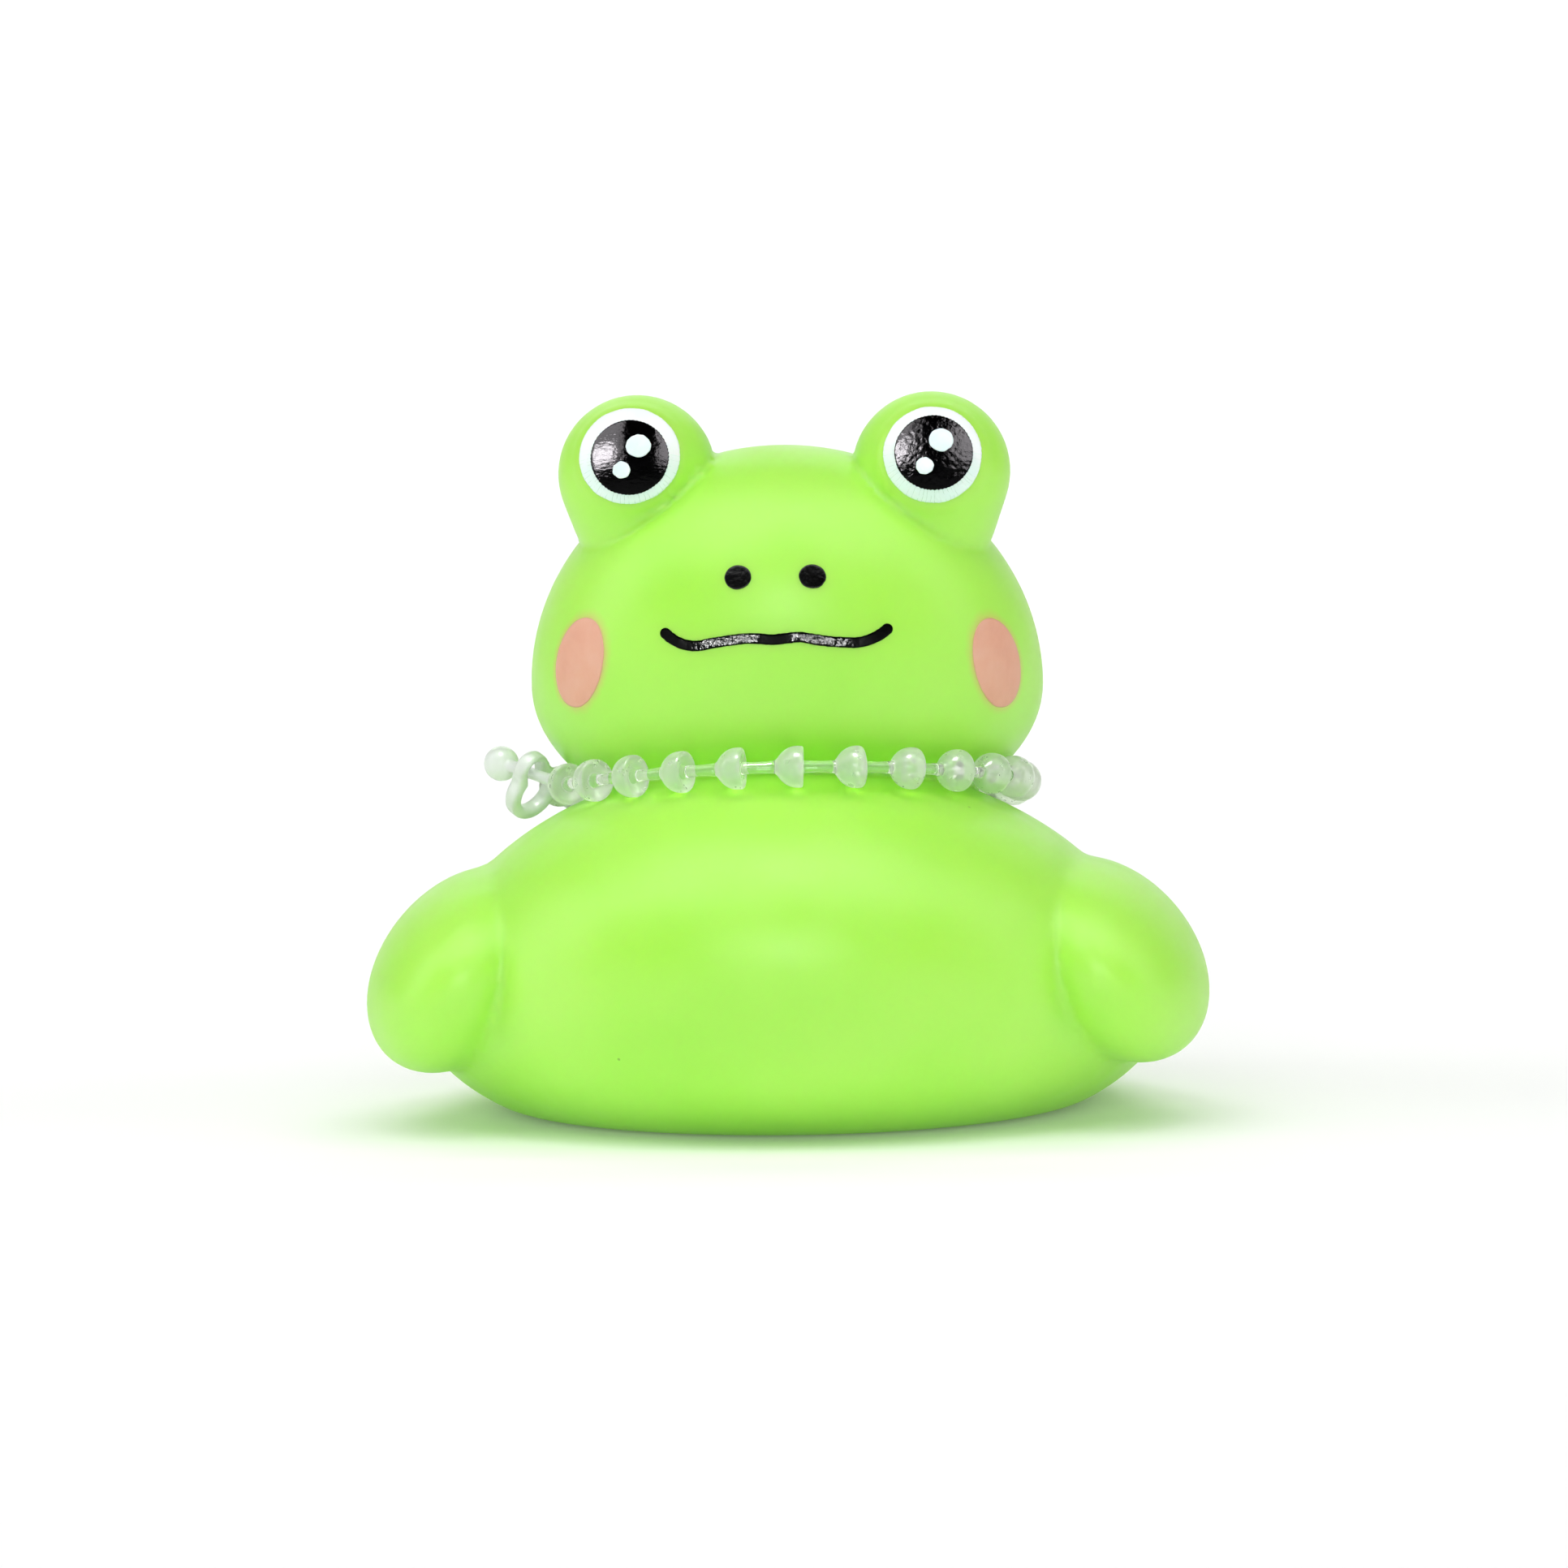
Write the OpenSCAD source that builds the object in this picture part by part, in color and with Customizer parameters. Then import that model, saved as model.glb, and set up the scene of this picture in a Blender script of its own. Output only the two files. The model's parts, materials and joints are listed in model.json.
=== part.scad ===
// Squeaky bath toy: a frog in hollow soft vinyl with a reed squeaker in its base
// and a beaded plastic loop round its neck. Millimetres, +Z up, the face looks
// along -Y, and the origin is on the resting plane under the middle of the body.
// Left and right are as seen from the front, so left is -X.

/* [Body] */
// Half the width of the body, without the haunches
body_rx = 35.2; // [34:0.2:36]
// Half the depth of the body at its widest level
body_ry = 34; // [33:0.5:34.5]
// Height of the widest level of the body above the base
body_cz = 9.15; // [8.5:0.05:9.5]
// Height of the body's dome above its widest level
body_up = 25; // [24.5:0.1:25.2]
// Depth of the bowl below the widest level, before the base is cut flat
body_dn = 14.2; // [13.5:0.1:15]
// How far the chest leans forward for each millimetre of height
body_lean = 0.4; // [0.35:0.05:0.45]
// Thickness of the vinyl
wall = 2.2; // [1.6:0.1:2.6]
// Thickness of the flat base
base_t = 2.6; // [2:0.1:3]

/* [Head] */
// Half the width of the head at the cheeks
head_rx = 24.2; // [23.5:0.1:25]
// Half the depth of the head at the cheeks
head_ry = 21.3; // [20:0.1:21.5]
// Height of the cheeks above the base
head_cz = 40.4; // [40:0.1:41]
// Height of the crown above the cheeks
head_up = 22.9; // [22:0.1:24]
// Depth of the jaw below the cheeks
head_dn = 14.9; // [14:0.1:15]
// How far the face leans forward for each millimetre of height
head_lean = 0.25; // [0.15:0.05:0.3]
// Radius of an eye dome
eye_r = 7.4; // [7:0.1:7.6]
// Half the distance between the eye domes
eye_x = 13.75; // [13.5:0.05:14]
// How far both eye domes sit to the right of the middle
eye_dx = 0.38; // [0:0.02:0.4]

/* [Haunches] */
// Half sizes of one haunch: across, fore and aft, up
haunch_r = [7.7, 16.6, 10.8];
// Turn of a haunch about the vertical, toes in
haunch_yaw = 3; // [0:1:10]
// Lean of a haunch, top inwards
haunch_lean = 41; // [35:1:45]

/* [Paint] */
// Thickness of each layer of paint
paint_t = 0.12; // [0.1:0.01:0.2]
// Radius of the white disc of an eye
white_r = 4.63; // [4.4:0.01:4.8]
// Radius of the black disc of an eye
pupil_r = 3.6; // [3.4:0.02:3.7]
// Width of the painted mouth line
mouth_w = 0.9; // [0.7:0.05:1.1]
// Radius of a cheek patch
cheek_r = 4.2; // [3.8:0.1:4.4]

/* [Squeaker] */
// Radius of the hole in the base and of the squeaker's barrel
seat_r = 8; // [7.8:0.1:8.2]
// Radius of the squeaker's flange
flange_r = 10.6; // [10.2:0.1:11]
// Radius of the bore inside the squeaker
bore_r = 6.4; // [6.3:0.05:6.5]
// Radius of the air vent
vent_r = 1.5; // [1:0.1:2]
// Rest angle of the reed tongue off its bed, in degrees
reed_open = 2.5; // [2:0.1:3]

/* [Bead chain] */
// Radius of the loop, measured to the middle of the strand
loop_r = 22; // [21.9:0.05:22.2]
// Radius of a bead
bead_r = 1.95; // [1.8:0.05:1.95]
// Radius of the strand between beads
strand_r = 0.6; // [0.5:0.05:0.65]
// Tilt of the loop, front raised, in degrees
loop_tilt = 9.5; // [9:0.1:9.7]

/* [Hidden] */
$fn = 64;

// The whole figure sits this far back, so that its box is centred on the origin.
y0 = (norm([body_ry, body_lean * body_up]) - norm([body_ry, body_lean * body_dn])) / 2;

// Body
haunch_c = [30.4, -9.5, 14.95];
haunch_drop = 0.4;            // the left haunch sits this much lower
sq_c = [0, body_lean * body_cz, 0];   // axis of the squeaker, in the middle of the base
boss_r = 13; boss_top = 5;   // thick ring of vinyl round the squeaker's hole
recess_r = 11.2; recess_d = 1.6;

// Head
head_cy = -0.5;
eye_c = [eye_x, -8.4, 60.85];
stem_dir = unit([-0.31, 0.35, -0.93]); stem_r = eye_r - 0.06; stem_len = 11;
eye_yaw = 4.9; eye_pitch = 21.7;

// Squeaker heights
fl_z0 = 0.3; floor_z = 1.5; ledge_z = 3.4; disc_top = 6.4;
bed_top = 11.6; cap_z0 = 12.6; cap_t = 0.8; top_z = 14;
reed_t = 0.2; reed_w = 3.8; socket_r = 2.6;

// Loop
loop_c = [0, -1.2, 31.1];
n_pitch = 25; pitch = 360 / n_pitch; phase = 4.9;
first_bead = -5; last_bead = 18;
rim = 0.5;
// Where the loop is closed: the free end runs from the first bead out through the eyelet.
knot = on_loop(first_bead * pitch + phase);
tail_dir = unit([-0.62, 0.78, 0.056]);
tail_len = 11.2; ball_r = 1.67;
eyelet_s = 6.2;              // distance along the free end from the first bead
eyelet_lean = -28;           // lean of the plate, foot away from the first bead
eyelet_twist = -25;          // turn of the plate about the free end, foot inwards
eyelet_t = 1.6; eyelet_R = 2.9; eyelet_hole = 1.8; slot_w = 1.7; eyelet_drop = 2.7; slot_top = 0.35; eyelet_top_r = 1.75;

function unit(v) = v / norm(v);
function turn_x(p, a) = [p.x, p.y * cos(a) - p.z * sin(a), p.y * sin(a) + p.z * cos(a)];
function on_loop(phi) = loop_c + turn_x([loop_r * sin(phi), -loop_r * cos(phi), 0], -loop_tilt);

// ---------------------------------------------------------------- vinyl forms

// Half of an ellipsoid of half sizes s standing on (or, with s.z negative, hanging
// from) the level c.z. lean moves it forward with height.
module half_egg(c, s, lean = 0)
    multmatrix([[s.x, 0, 0, c.x], [0, s.y, -lean * s.z, c.y], [0, 0, s.z, c.z], [0, 0, 0, 1]])
        intersection() {
            sphere(r = 1);
            translate([-2, -2, 0]) cube([4, 4, 2]);
        }

// Outer form, or with t above 0 the cavity inside walls that thick.
module body_form(t) {
    half_egg([0, 0, body_cz], [body_rx - t, body_ry - t, body_up - t], body_lean);
    half_egg([0, 0, body_cz], [body_rx - t, body_ry - t, -(body_dn - t)], body_lean);
}
module head_upper(t) half_egg([0, head_cy, head_cz], [head_rx - t, head_ry - t, head_up - t], head_lean);
module head_lower(t) half_egg([0, head_cy, head_cz], [head_rx - t, head_ry - t, -(head_dn - t)], head_lean);
module eye_form(side, t) {
    translate([side * eye_c.x + eye_dx, eye_c.y, eye_c.z]) {
        sphere(r = eye_r - t);
        rotate([0, acos(stem_dir.z), atan2(stem_dir.y, side * stem_dir.x)]) cylinder(r = stem_r - t, h = stem_len);
    }
}
module haunch_form(side, t)
    translate([side * haunch_c.x, haunch_c.y, haunch_c.z - (side < 0 ? haunch_drop : 0)])
        rotate([0, 0, -side * haunch_yaw]) rotate([0, -side * haunch_lean, 0])
            scale([haunch_r.x - t, haunch_r.y - t, haunch_r.z - t]) sphere(r = 1);

module frog_form(t, z_low)
    intersection() {
        union() {
            body_form(t);
            head_upper(t);
            head_lower(t);
            for (side = [-1, 1]) {
                eye_form(side, t);
                haunch_form(side, t);
            }
        }
        translate([-60, -60, z_low]) cube([120, 120, 100]);
    }

// One hollow moulding with a round hole in its base, recessed for the flange.
module body_shell() color([0.70, 0.96, 0.42])
    translate([0, y0, 0]) difference() {
        union() {
            difference() {
                frog_form(0, 0);
                frog_form(wall, base_t);
            }
            translate([sq_c.x, sq_c.y, base_t - 0.4]) cylinder(r = boss_r, h = boss_top - base_t + 0.4);
        }
        translate([sq_c.x, sq_c.y, -1]) cylinder(r = seat_r, h = boss_top + 2);
        translate([sq_c.x, sq_c.y, -1]) cylinder(r = recess_r, h = 1 + recess_d);
    }

// ------------------------------------------------------------------- squeaker

module at_squeaker() translate([sq_c.x, sq_c.y + y0, 0]) children();

// Flanged cup: vent in its floor, barb above the boss, open at the top.
module squeaker_housing() color([0.95, 0.95, 0.92]) at_squeaker()
    rotate_extrude() polygon([
        [vent_r, fl_z0], [flange_r - 0.4, fl_z0], [flange_r, fl_z0 + 0.4], [flange_r, recess_d],
        [seat_r, recess_d], [seat_r, boss_top], [seat_r + 0.9, boss_top], [seat_r + 0.9, boss_top + 0.4],
        [seat_r - 0.2, boss_top + 2.2], [seat_r - 0.2, top_z - 0.3], [seat_r - 0.5, top_z],
        [bore_r - 0.15, top_z], [bore_r - 0.15, cap_z0 + cap_t], [bore_r + 0.25, cap_z0 + cap_t],
        [bore_r + 0.25, cap_z0], [bore_r, cap_z0], [bore_r, ledge_z], [bore_r - 1.1, ledge_z],
        [bore_r - 1.1, floor_z], [vent_r, floor_z]
    ]);

// Disc that stands on the ledge in the bore and grips the reed's parts in its socket.
module reed_carrier() color([0.92, 0.92, 0.90]) at_squeaker()
    difference() {
        translate([0, 0, ledge_z]) cylinder(r = bore_r, h = disc_top - ledge_z);
        translate([0, 0, ledge_z - 1]) cylinder(r = socket_r, h = disc_top - ledge_z + 2);
    }

// Half-round tube, closed at its top, with a flat face that the reed covers and a slot in that face.
module reed_bed() color([0.35, 0.55, 0.85]) at_squeaker()
    difference() {
        intersection() {
            translate([0, 0, ledge_z]) cylinder(r = socket_r, h = bed_top - ledge_z);
            translate([-5, reed_t / 2, 0]) cube([10, 5, 20]);
        }
        intersection() {
            translate([0, 0, ledge_z - 1]) cylinder(r = socket_r - 0.8, h = bed_top - ledge_z);
            translate([-5, reed_t / 2 + 0.6, 0]) cube([10, 5, 20]);
        }
        translate([-1.2, 0, disc_top + 0.4]) cube([2.4, 1.2, bed_top - disc_top - 1.8]);
    }

// The part of the reed that the wedge clamps against the bed.
module reed_heel() color([0.85, 0.60, 0.20]) at_squeaker()
    translate([-reed_w / 2, -reed_t / 2, ledge_z]) cube([reed_w, reed_t, disc_top - ledge_z]);

// The free part of the reed, standing a little off its bed.
module reed_tongue() color([0.85, 0.60, 0.20]) at_squeaker()
    translate([0, 0, disc_top]) rotate([reed_open, 0, 0])
        translate([-reed_w / 2, -reed_t / 2, 0.03]) cube([reed_w, reed_t, bed_top - disc_top - 0.5]);

// Half-round plug that holds the heel against the bed.
module reed_wedge() color([0.92, 0.92, 0.90]) at_squeaker()
    intersection() {
        translate([0, 0, ledge_z]) cylinder(r = socket_r, h = disc_top - ledge_z);
        translate([-5, -5 - reed_t / 2, 0]) cube([10, 5, 20]);
    }

// Perforated disc that snaps into the groove at the top of the bore.
module squeaker_cap() color([0.92, 0.92, 0.90]) at_squeaker()
    difference() {
        translate([0, 0, cap_z0]) cylinder(r = bore_r + 0.25, h = cap_t);
        translate([0, 0, cap_z0 - 1]) cylinder(r = 1.2, h = cap_t + 2);
        for (a = [0 : 60 : 300]) rotate(a) translate([3.8, 0, cap_z0 - 1]) cylinder(r = 0.7, h = cap_t + 2, $fn = 24);
    }

// ----------------------------------------------------------------- bead chain

module in_loop() translate([0, y0, 0]) translate(loop_c) rotate([-loop_tilt, 0, 0]) children();

// A domed bead whose strand runs along the local Z: the flat face looks along +Z.
module bead() {
    intersection() {
        sphere(r = bead_r);
        translate([-3, -3, -3]) cube([6, 6, 3]);
    }
    translate([0, 0, -0.01]) cylinder(r = bead_r, h = rim + 0.01);
}

// Strand and beads, moulded in one.
module bead_chain() color([0.86, 0.94, 0.88, 0.6]) in_loop() {
    rotate([0, 0, first_bead * pitch + phase - 90])
        rotate_extrude(angle = (last_bead - first_bead) * pitch) translate([loop_r, 0]) circle(r = strand_r, $fn = 32);
    for (k = [first_bead : last_bead])
        rotate([0, 0, k * pitch + phase - 90]) translate([loop_r, 0, 0]) rotate([-90, 0, 0]) bead();
}

// Frame at distance s along the free end, with local Z along it and local Y up.
module on_tail(s) {
    x = unit(cross([0, 0, 1], tail_dir));
    y = cross(tail_dir, x);
    p = knot + tail_dir * s + [0, y0, 0];
    multmatrix([[x.x, y.x, tail_dir.x, p.x], [x.y, y.y, tail_dir.y, p.y], [x.z, y.z, tail_dir.z, p.z], [0, 0, 0, 1]])
        children();
}

// Keyhole plate at the other end of the chain. The ball of the free end goes through
// its round hole, and the strand is then held in its slot.
module chain_eyelet() color([0.86, 0.94, 0.88, 0.6]) {
    on_tail(eyelet_s) rotate([0, 0, eyelet_twist]) rotate([eyelet_lean, 0, 0])
        translate([0, 0, -eyelet_t / 2]) linear_extrude(height = eyelet_t) difference() {
            union() {
                translate([0, -eyelet_drop]) circle(r = eyelet_R);
                translate([0, slot_top - 0.25]) circle(r = eyelet_top_r);
                translate([-eyelet_top_r, -eyelet_drop]) square([2 * eyelet_top_r, eyelet_drop + slot_top - 0.25]);
            }
            translate([0, -eyelet_drop]) circle(r = eyelet_hole);
            translate([0, slot_top]) circle(r = slot_w / 2);
            translate([-slot_w / 2, -eyelet_drop]) square([slot_w, eyelet_drop + slot_top]);
        }
    eyelet_link();
}

// The last link of the chain, from its last bead to the edge of the eyelet.
module eyelet_link() {
    a = on_loop(last_bead * pitch + phase) + [0, y0, 0];
    x0 = unit(cross([0, 0, 1], tail_dir));
    y1 = cross(tail_dir, x0);
    x = x0 * cos(eyelet_twist) + y1 * sin(eyelet_twist);
    y = (y1 * cos(eyelet_twist) - x0 * sin(eyelet_twist)) * cos(eyelet_lean) + tail_dir * sin(eyelet_lean);
    e = knot + tail_dir * eyelet_s + [0, y0, 0] - x * 2.7 - y * 2.4;
    d = e - a;
    m = norm(d);
    start = a + d / m * (bead_r - 0.2);
    translate(start) rotate([0, acos(d.z / m), atan2(d.y, d.x)]) cylinder(r = strand_r, h = m - bead_r + 0.2, $fn = 32);
}

// The free end: it leaves the first bead, passes the eyelet and ends in a ball.
module chain_tail() color([0.86, 0.94, 0.88, 0.6])
    on_tail(0) rotate_extrude() {
        translate([0, bead_r + 0.03]) square([strand_r, tail_len - ball_r]);
        intersection() {
            translate([0, tail_len]) circle(r = ball_r);
            translate([0, tail_len - 2 * ball_r]) square([2 * ball_r, 4 * ball_r]);
        }
    }

// ---------------------------------------------------------------------- paint

// Frame at the middle of an eye dome, with local Z along its gaze and local Y up.
module eye_frame(side)
    translate([side * eye_c.x + eye_dx, eye_c.y + y0, eye_c.z])
        rotate([0, 0, side * eye_yaw]) rotate([90 - eye_pitch, 0, 0]) children();

// Cap of paint between two radii of the dome, cut round at offset p.
module cap(side, r, low, high, p = [0, 0])
    eye_frame(side) intersection() {
        difference() {
            sphere(r = eye_r + high);
            sphere(r = eye_r + low);
        }
        translate([p.x, p.y, 0]) cylinder(r = r, h = eye_r + 1);
    }

module eye_white(side) color("white") cap(side, white_r, 0, paint_t);
module pupil(side) color([0.03, 0.03, 0.03]) cap(side, pupil_r, paint_t, 2 * paint_t);
module catchlights(side) color("white") {
    cap(side, 1.14, 2 * paint_t, 3 * paint_t, [0.92, 0.76]);
    cap(side, 0.8, 2 * paint_t, 3 * paint_t, [-0.61, -1.5]);
}

// A skin of paint on the upper half of the face, where a prism along Y meets it.
module face_skin()
    translate([0, y0, 0]) intersection() {
        difference() {
            head_upper(-paint_t);
            head_upper(0);
        }
        children();
    }

module nostril(side) color([0.05, 0.05, 0.05])
    face_skin() translate([side * 3.44, 0, 51.9]) rotate([90, 0, 0]) scale([1.22, 1.07, 1]) cylinder(r = 1, h = 40);

// Wall of a round arc about the Y axis, from angle a0 to angle a1, rounded at the end when asked.
module arc_wall(c, r, a0, a1)
    translate([c.x, 0, c.y]) rotate([90, 0, 0]) rotate([0, 0, a0])
        rotate_extrude(angle = a1 - a0) translate([r - mouth_w / 2, 0]) square([mouth_w, 40]);

// The mouth: a wide low arch in the middle, and a cup at each end that turns up.
mouth_c = [0, 46.3 - 47]; mouth_R = 47; mouth_a = 8.07;
cup_r = 4.6;
module mouth_line() color([0.05, 0.05, 0.05])
    face_skin() union() {
        arc_wall(mouth_c, mouth_R, 90 - mouth_a - 0.3, 90 + mouth_a + 0.3);
        for (s = [-1, 1]) mirror([s < 0 ? 1 : 0, 0, 0]) {
            cup_c = mouth_c + (mouth_R + cup_r) * [sin(mouth_a), cos(mouth_a)];
            arc_wall(cup_c, cup_r, -90 - mouth_a, -45);
            translate([cup_c.x + cup_r * cos(45), 0, cup_c.y - cup_r * sin(45)]) rotate([90, 0, 0]) cylinder(r = mouth_w / 2, h = 40, $fn = 32);
        }
    }

// A round patch sprayed on the side of the face, square to the surface there. Both
// patches sit a little to the right of the middle.
cheek_dx = 0.7;
module cheek(side) color([0.94, 0.68, 0.58])
    translate([0, y0, 0]) intersection() {
        difference() {
            union() { head_upper(-paint_t); head_lower(-paint_t); }
            union() { head_upper(0); head_lower(0); }
        }
        translate([side * 15.4 + cheek_dx, -9.9 + side * 0.9, 43.6]) rotate([90, 0, side * (50 + side * 3)]) cylinder(r = cheek_r, h = 14);
    }

body_shell();
squeaker_housing();
reed_carrier();
reed_bed();
reed_heel();
reed_tongue();
reed_wedge();
squeaker_cap();
bead_chain();
chain_eyelet();
chain_tail();
eye_white(-1);  // left_eye_white
eye_white(1);  // right_eye_white
pupil(-1);  // left_pupil
pupil(1);  // right_pupil
catchlights(-1);  // left_catchlights
catchlights(1);  // right_catchlights
nostril(-1);  // left_nostril
nostril(1);  // right_nostril
mouth_line();
cheek(-1);  // left_cheek
cheek(1);  // right_cheek
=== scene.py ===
import json
import math

import bpy
import numpy as np
from mathutils import Matrix, Vector

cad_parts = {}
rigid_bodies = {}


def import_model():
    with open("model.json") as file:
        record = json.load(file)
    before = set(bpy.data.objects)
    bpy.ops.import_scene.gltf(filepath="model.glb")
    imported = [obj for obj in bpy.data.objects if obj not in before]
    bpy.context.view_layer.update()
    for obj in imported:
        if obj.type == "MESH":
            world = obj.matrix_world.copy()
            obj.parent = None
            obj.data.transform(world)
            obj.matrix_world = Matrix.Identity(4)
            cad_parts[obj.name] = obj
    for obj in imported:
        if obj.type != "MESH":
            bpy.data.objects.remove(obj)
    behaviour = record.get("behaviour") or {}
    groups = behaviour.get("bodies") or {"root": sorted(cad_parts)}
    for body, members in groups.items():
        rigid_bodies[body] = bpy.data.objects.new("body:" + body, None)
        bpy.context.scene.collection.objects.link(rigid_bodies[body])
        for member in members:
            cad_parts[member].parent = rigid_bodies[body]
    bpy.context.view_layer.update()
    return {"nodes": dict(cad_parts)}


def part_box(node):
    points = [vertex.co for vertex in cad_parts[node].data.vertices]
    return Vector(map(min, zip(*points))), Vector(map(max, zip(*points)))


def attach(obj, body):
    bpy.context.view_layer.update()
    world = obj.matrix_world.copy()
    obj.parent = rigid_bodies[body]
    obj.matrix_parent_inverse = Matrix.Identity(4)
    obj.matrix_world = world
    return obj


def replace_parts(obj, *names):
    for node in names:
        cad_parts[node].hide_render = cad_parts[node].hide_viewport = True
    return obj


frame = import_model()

MM = 0.001
rng = np.random.default_rng(7)


# ------------------------------------------------------------------ the form
# Everything here is in millimetres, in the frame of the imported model.

RY, LEAN, UP, DN = 34.0, 0.4, 25.0, 14.2
Y0 = (math.hypot(RY, LEAN * UP) - math.hypot(RY, LEAN * DN)) / 2
WALL, BASE_T = 2.2, 2.6
EYE = (13.75, -8.4 + Y0, 60.85)
EYE_DX = 0.38
EYE_R = 7.4
GAZE = {-1: (-3.8, 19.4), 1: (3.3, 16.8)}   # yaw and pitch of each painted eye
STEM = np.array([-0.31, 0.35, -0.93]) / np.linalg.norm([-0.31, 0.35, -0.93])
HAUNCH_DROP = 0.4
SQ = (0.0, LEAN * 9.15 + Y0)


def egg(p, c, s, up, dn, lean):
    x, y, z = p[0] - c[0], p[1] - c[1], p[2] - c[2]
    y = y + lean * z
    a = np.where(z > 0, up, dn)
    vx, vy, vz = x / s[0], y / s[1], z / a
    k = np.sqrt(vx * vx + vy * vy + vz * vz)
    gx, gy = vx / s[0], vy / s[1]
    gz = vz / a + lean * gy
    g = np.sqrt(gx * gx + gy * gy + gz * gz) / np.maximum(k, 1e-6)
    return (k - 1) / np.maximum(g, 1 / 50)


def ellipsoid(p, c, r, rot):
    d = np.stack([p[0] - c[0], p[1] - c[1], p[2] - c[2]])
    q = np.tensordot(rot.T, d, axes=1)
    v = [q[i] / r[i] for i in range(3)]
    k = np.sqrt(v[0] ** 2 + v[1] ** 2 + v[2] ** 2)
    g = np.sqrt(sum((v[i] / r[i]) ** 2 for i in range(3))) / np.maximum(k, 1e-6)
    return (k - 1) / np.maximum(g, 1 / 30)


def capsule(p, a, d, length, r0, r1):
    x = [p[i] - a[i] for i in range(3)]
    t = np.clip(sum(x[i] * d[i] for i in range(3)), 0, length)
    q = [x[i] - t * d[i] for i in range(3)]
    return np.sqrt(q[0] ** 2 + q[1] ** 2 + q[2] ** 2) - (r0 + (r1 - r0) * t / length)


def smin(a, b, k):
    h = np.clip(0.5 + 0.5 * (b - a) / k, 0, 1)
    return b * (1 - h) + a * h - k * h * (1 - h)


def smax(a, b, k):
    return -smin(-a, -b, k)


def valley(a, b, k, depth, width):
    """Two forms joined with a small fillet and a shallow crease along their meeting line."""
    return smin(a, b, k) + depth * np.exp(-((a - b) / width) ** 2)


def rot(axis, deg):
    return np.array(Matrix.Rotation(math.radians(deg), 3, axis))


def step(lo, hi, x):
    t = np.clip((x - lo) / (hi - lo), 0, 1)
    return t * t * (3 - 2 * t)


def gaze(side):
    yaw, pitch = (math.radians(v) for v in GAZE[side])
    return np.array([math.sin(yaw) * math.cos(pitch), -math.cos(yaw) * math.cos(pitch), math.sin(pitch)])


def dome(p, side):
    """One eye dome on its stem. The eyeball stands a little proud of the lid round it."""
    c = (side * EYE[0] + EYE_DX, EYE[1], EYE[2])
    f = capsule(p, c, (side * STEM[0], STEM[1], STEM[2]), 11, EYE_R, EYE_R - 0.1)
    g = gaze(side)
    d = [p[i] - c[i] for i in range(3)]
    along = sum(d[i] * g[i] for i in range(3))
    r = np.sqrt(d[0] ** 2 + d[1] ** 2 + d[2] ** 2) + 1e-6
    rho = EYE_R * np.sqrt(np.maximum(1 - (along / r) ** 2, 0))
    ball = np.where(along > 0, 1 - step(4.75, 5.7, rho), 0.0)
    return f - 0.26 * ball


def outer(p):
    """Signed distance, roughly, to the outside of the vinyl."""
    f = egg(p, (0, Y0, 9.15), (35.2, RY), UP, DN, LEAN)
    head = egg(p, (0, -0.5 + Y0, 40.4), (24.2, 21.3), 22.9, 14.9, 0.25)
    for s in (-1, 1):
        head = valley(head, dome(p, s), 0.7, 0.13, 0.55)
    f = smin(f, head, 0.7)
    for s in (-1, 1):
        leg = ellipsoid(p, (s * 30.4, -9.5 + Y0, 14.95 - (HAUNCH_DROP if s < 0 else 0)), (7.7, 16.6, 10.8), rot("Z", -s * 3) @ rot("Y", -s * 41))
        f = valley(f, leg, 1.1, 0.10, 0.7)
    return smax(f, -p[2], 1.0)


def shell(p):
    """The hollow moulding, with its base, boss and hole."""
    o = outer(p)
    r = np.sqrt((p[0] - SQ[0]) ** 2 + (p[1] - SQ[1]) ** 2)
    boss = np.maximum(r - 13, p[2] - 5)
    cavity = smax(smax(o + WALL, BASE_T - p[2], 0.8), -boss, 0.6)
    f = np.maximum(o, -cavity)
    f = smax(f, np.minimum(8.0 - r, 10.0 - p[2]), 0.5)
    return smax(f, -np.maximum(r - 11.2, p[2] - 1.6), 0.4)


def gradient(fun, p, h=0.02):
    g = []
    for i in range(3):
        a, b = [q.copy() for q in p], [q.copy() for q in p]
        a[i] += h
        b[i] -= h
        g.append((fun(a) - fun(b)) / (2 * h))
    return g


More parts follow.
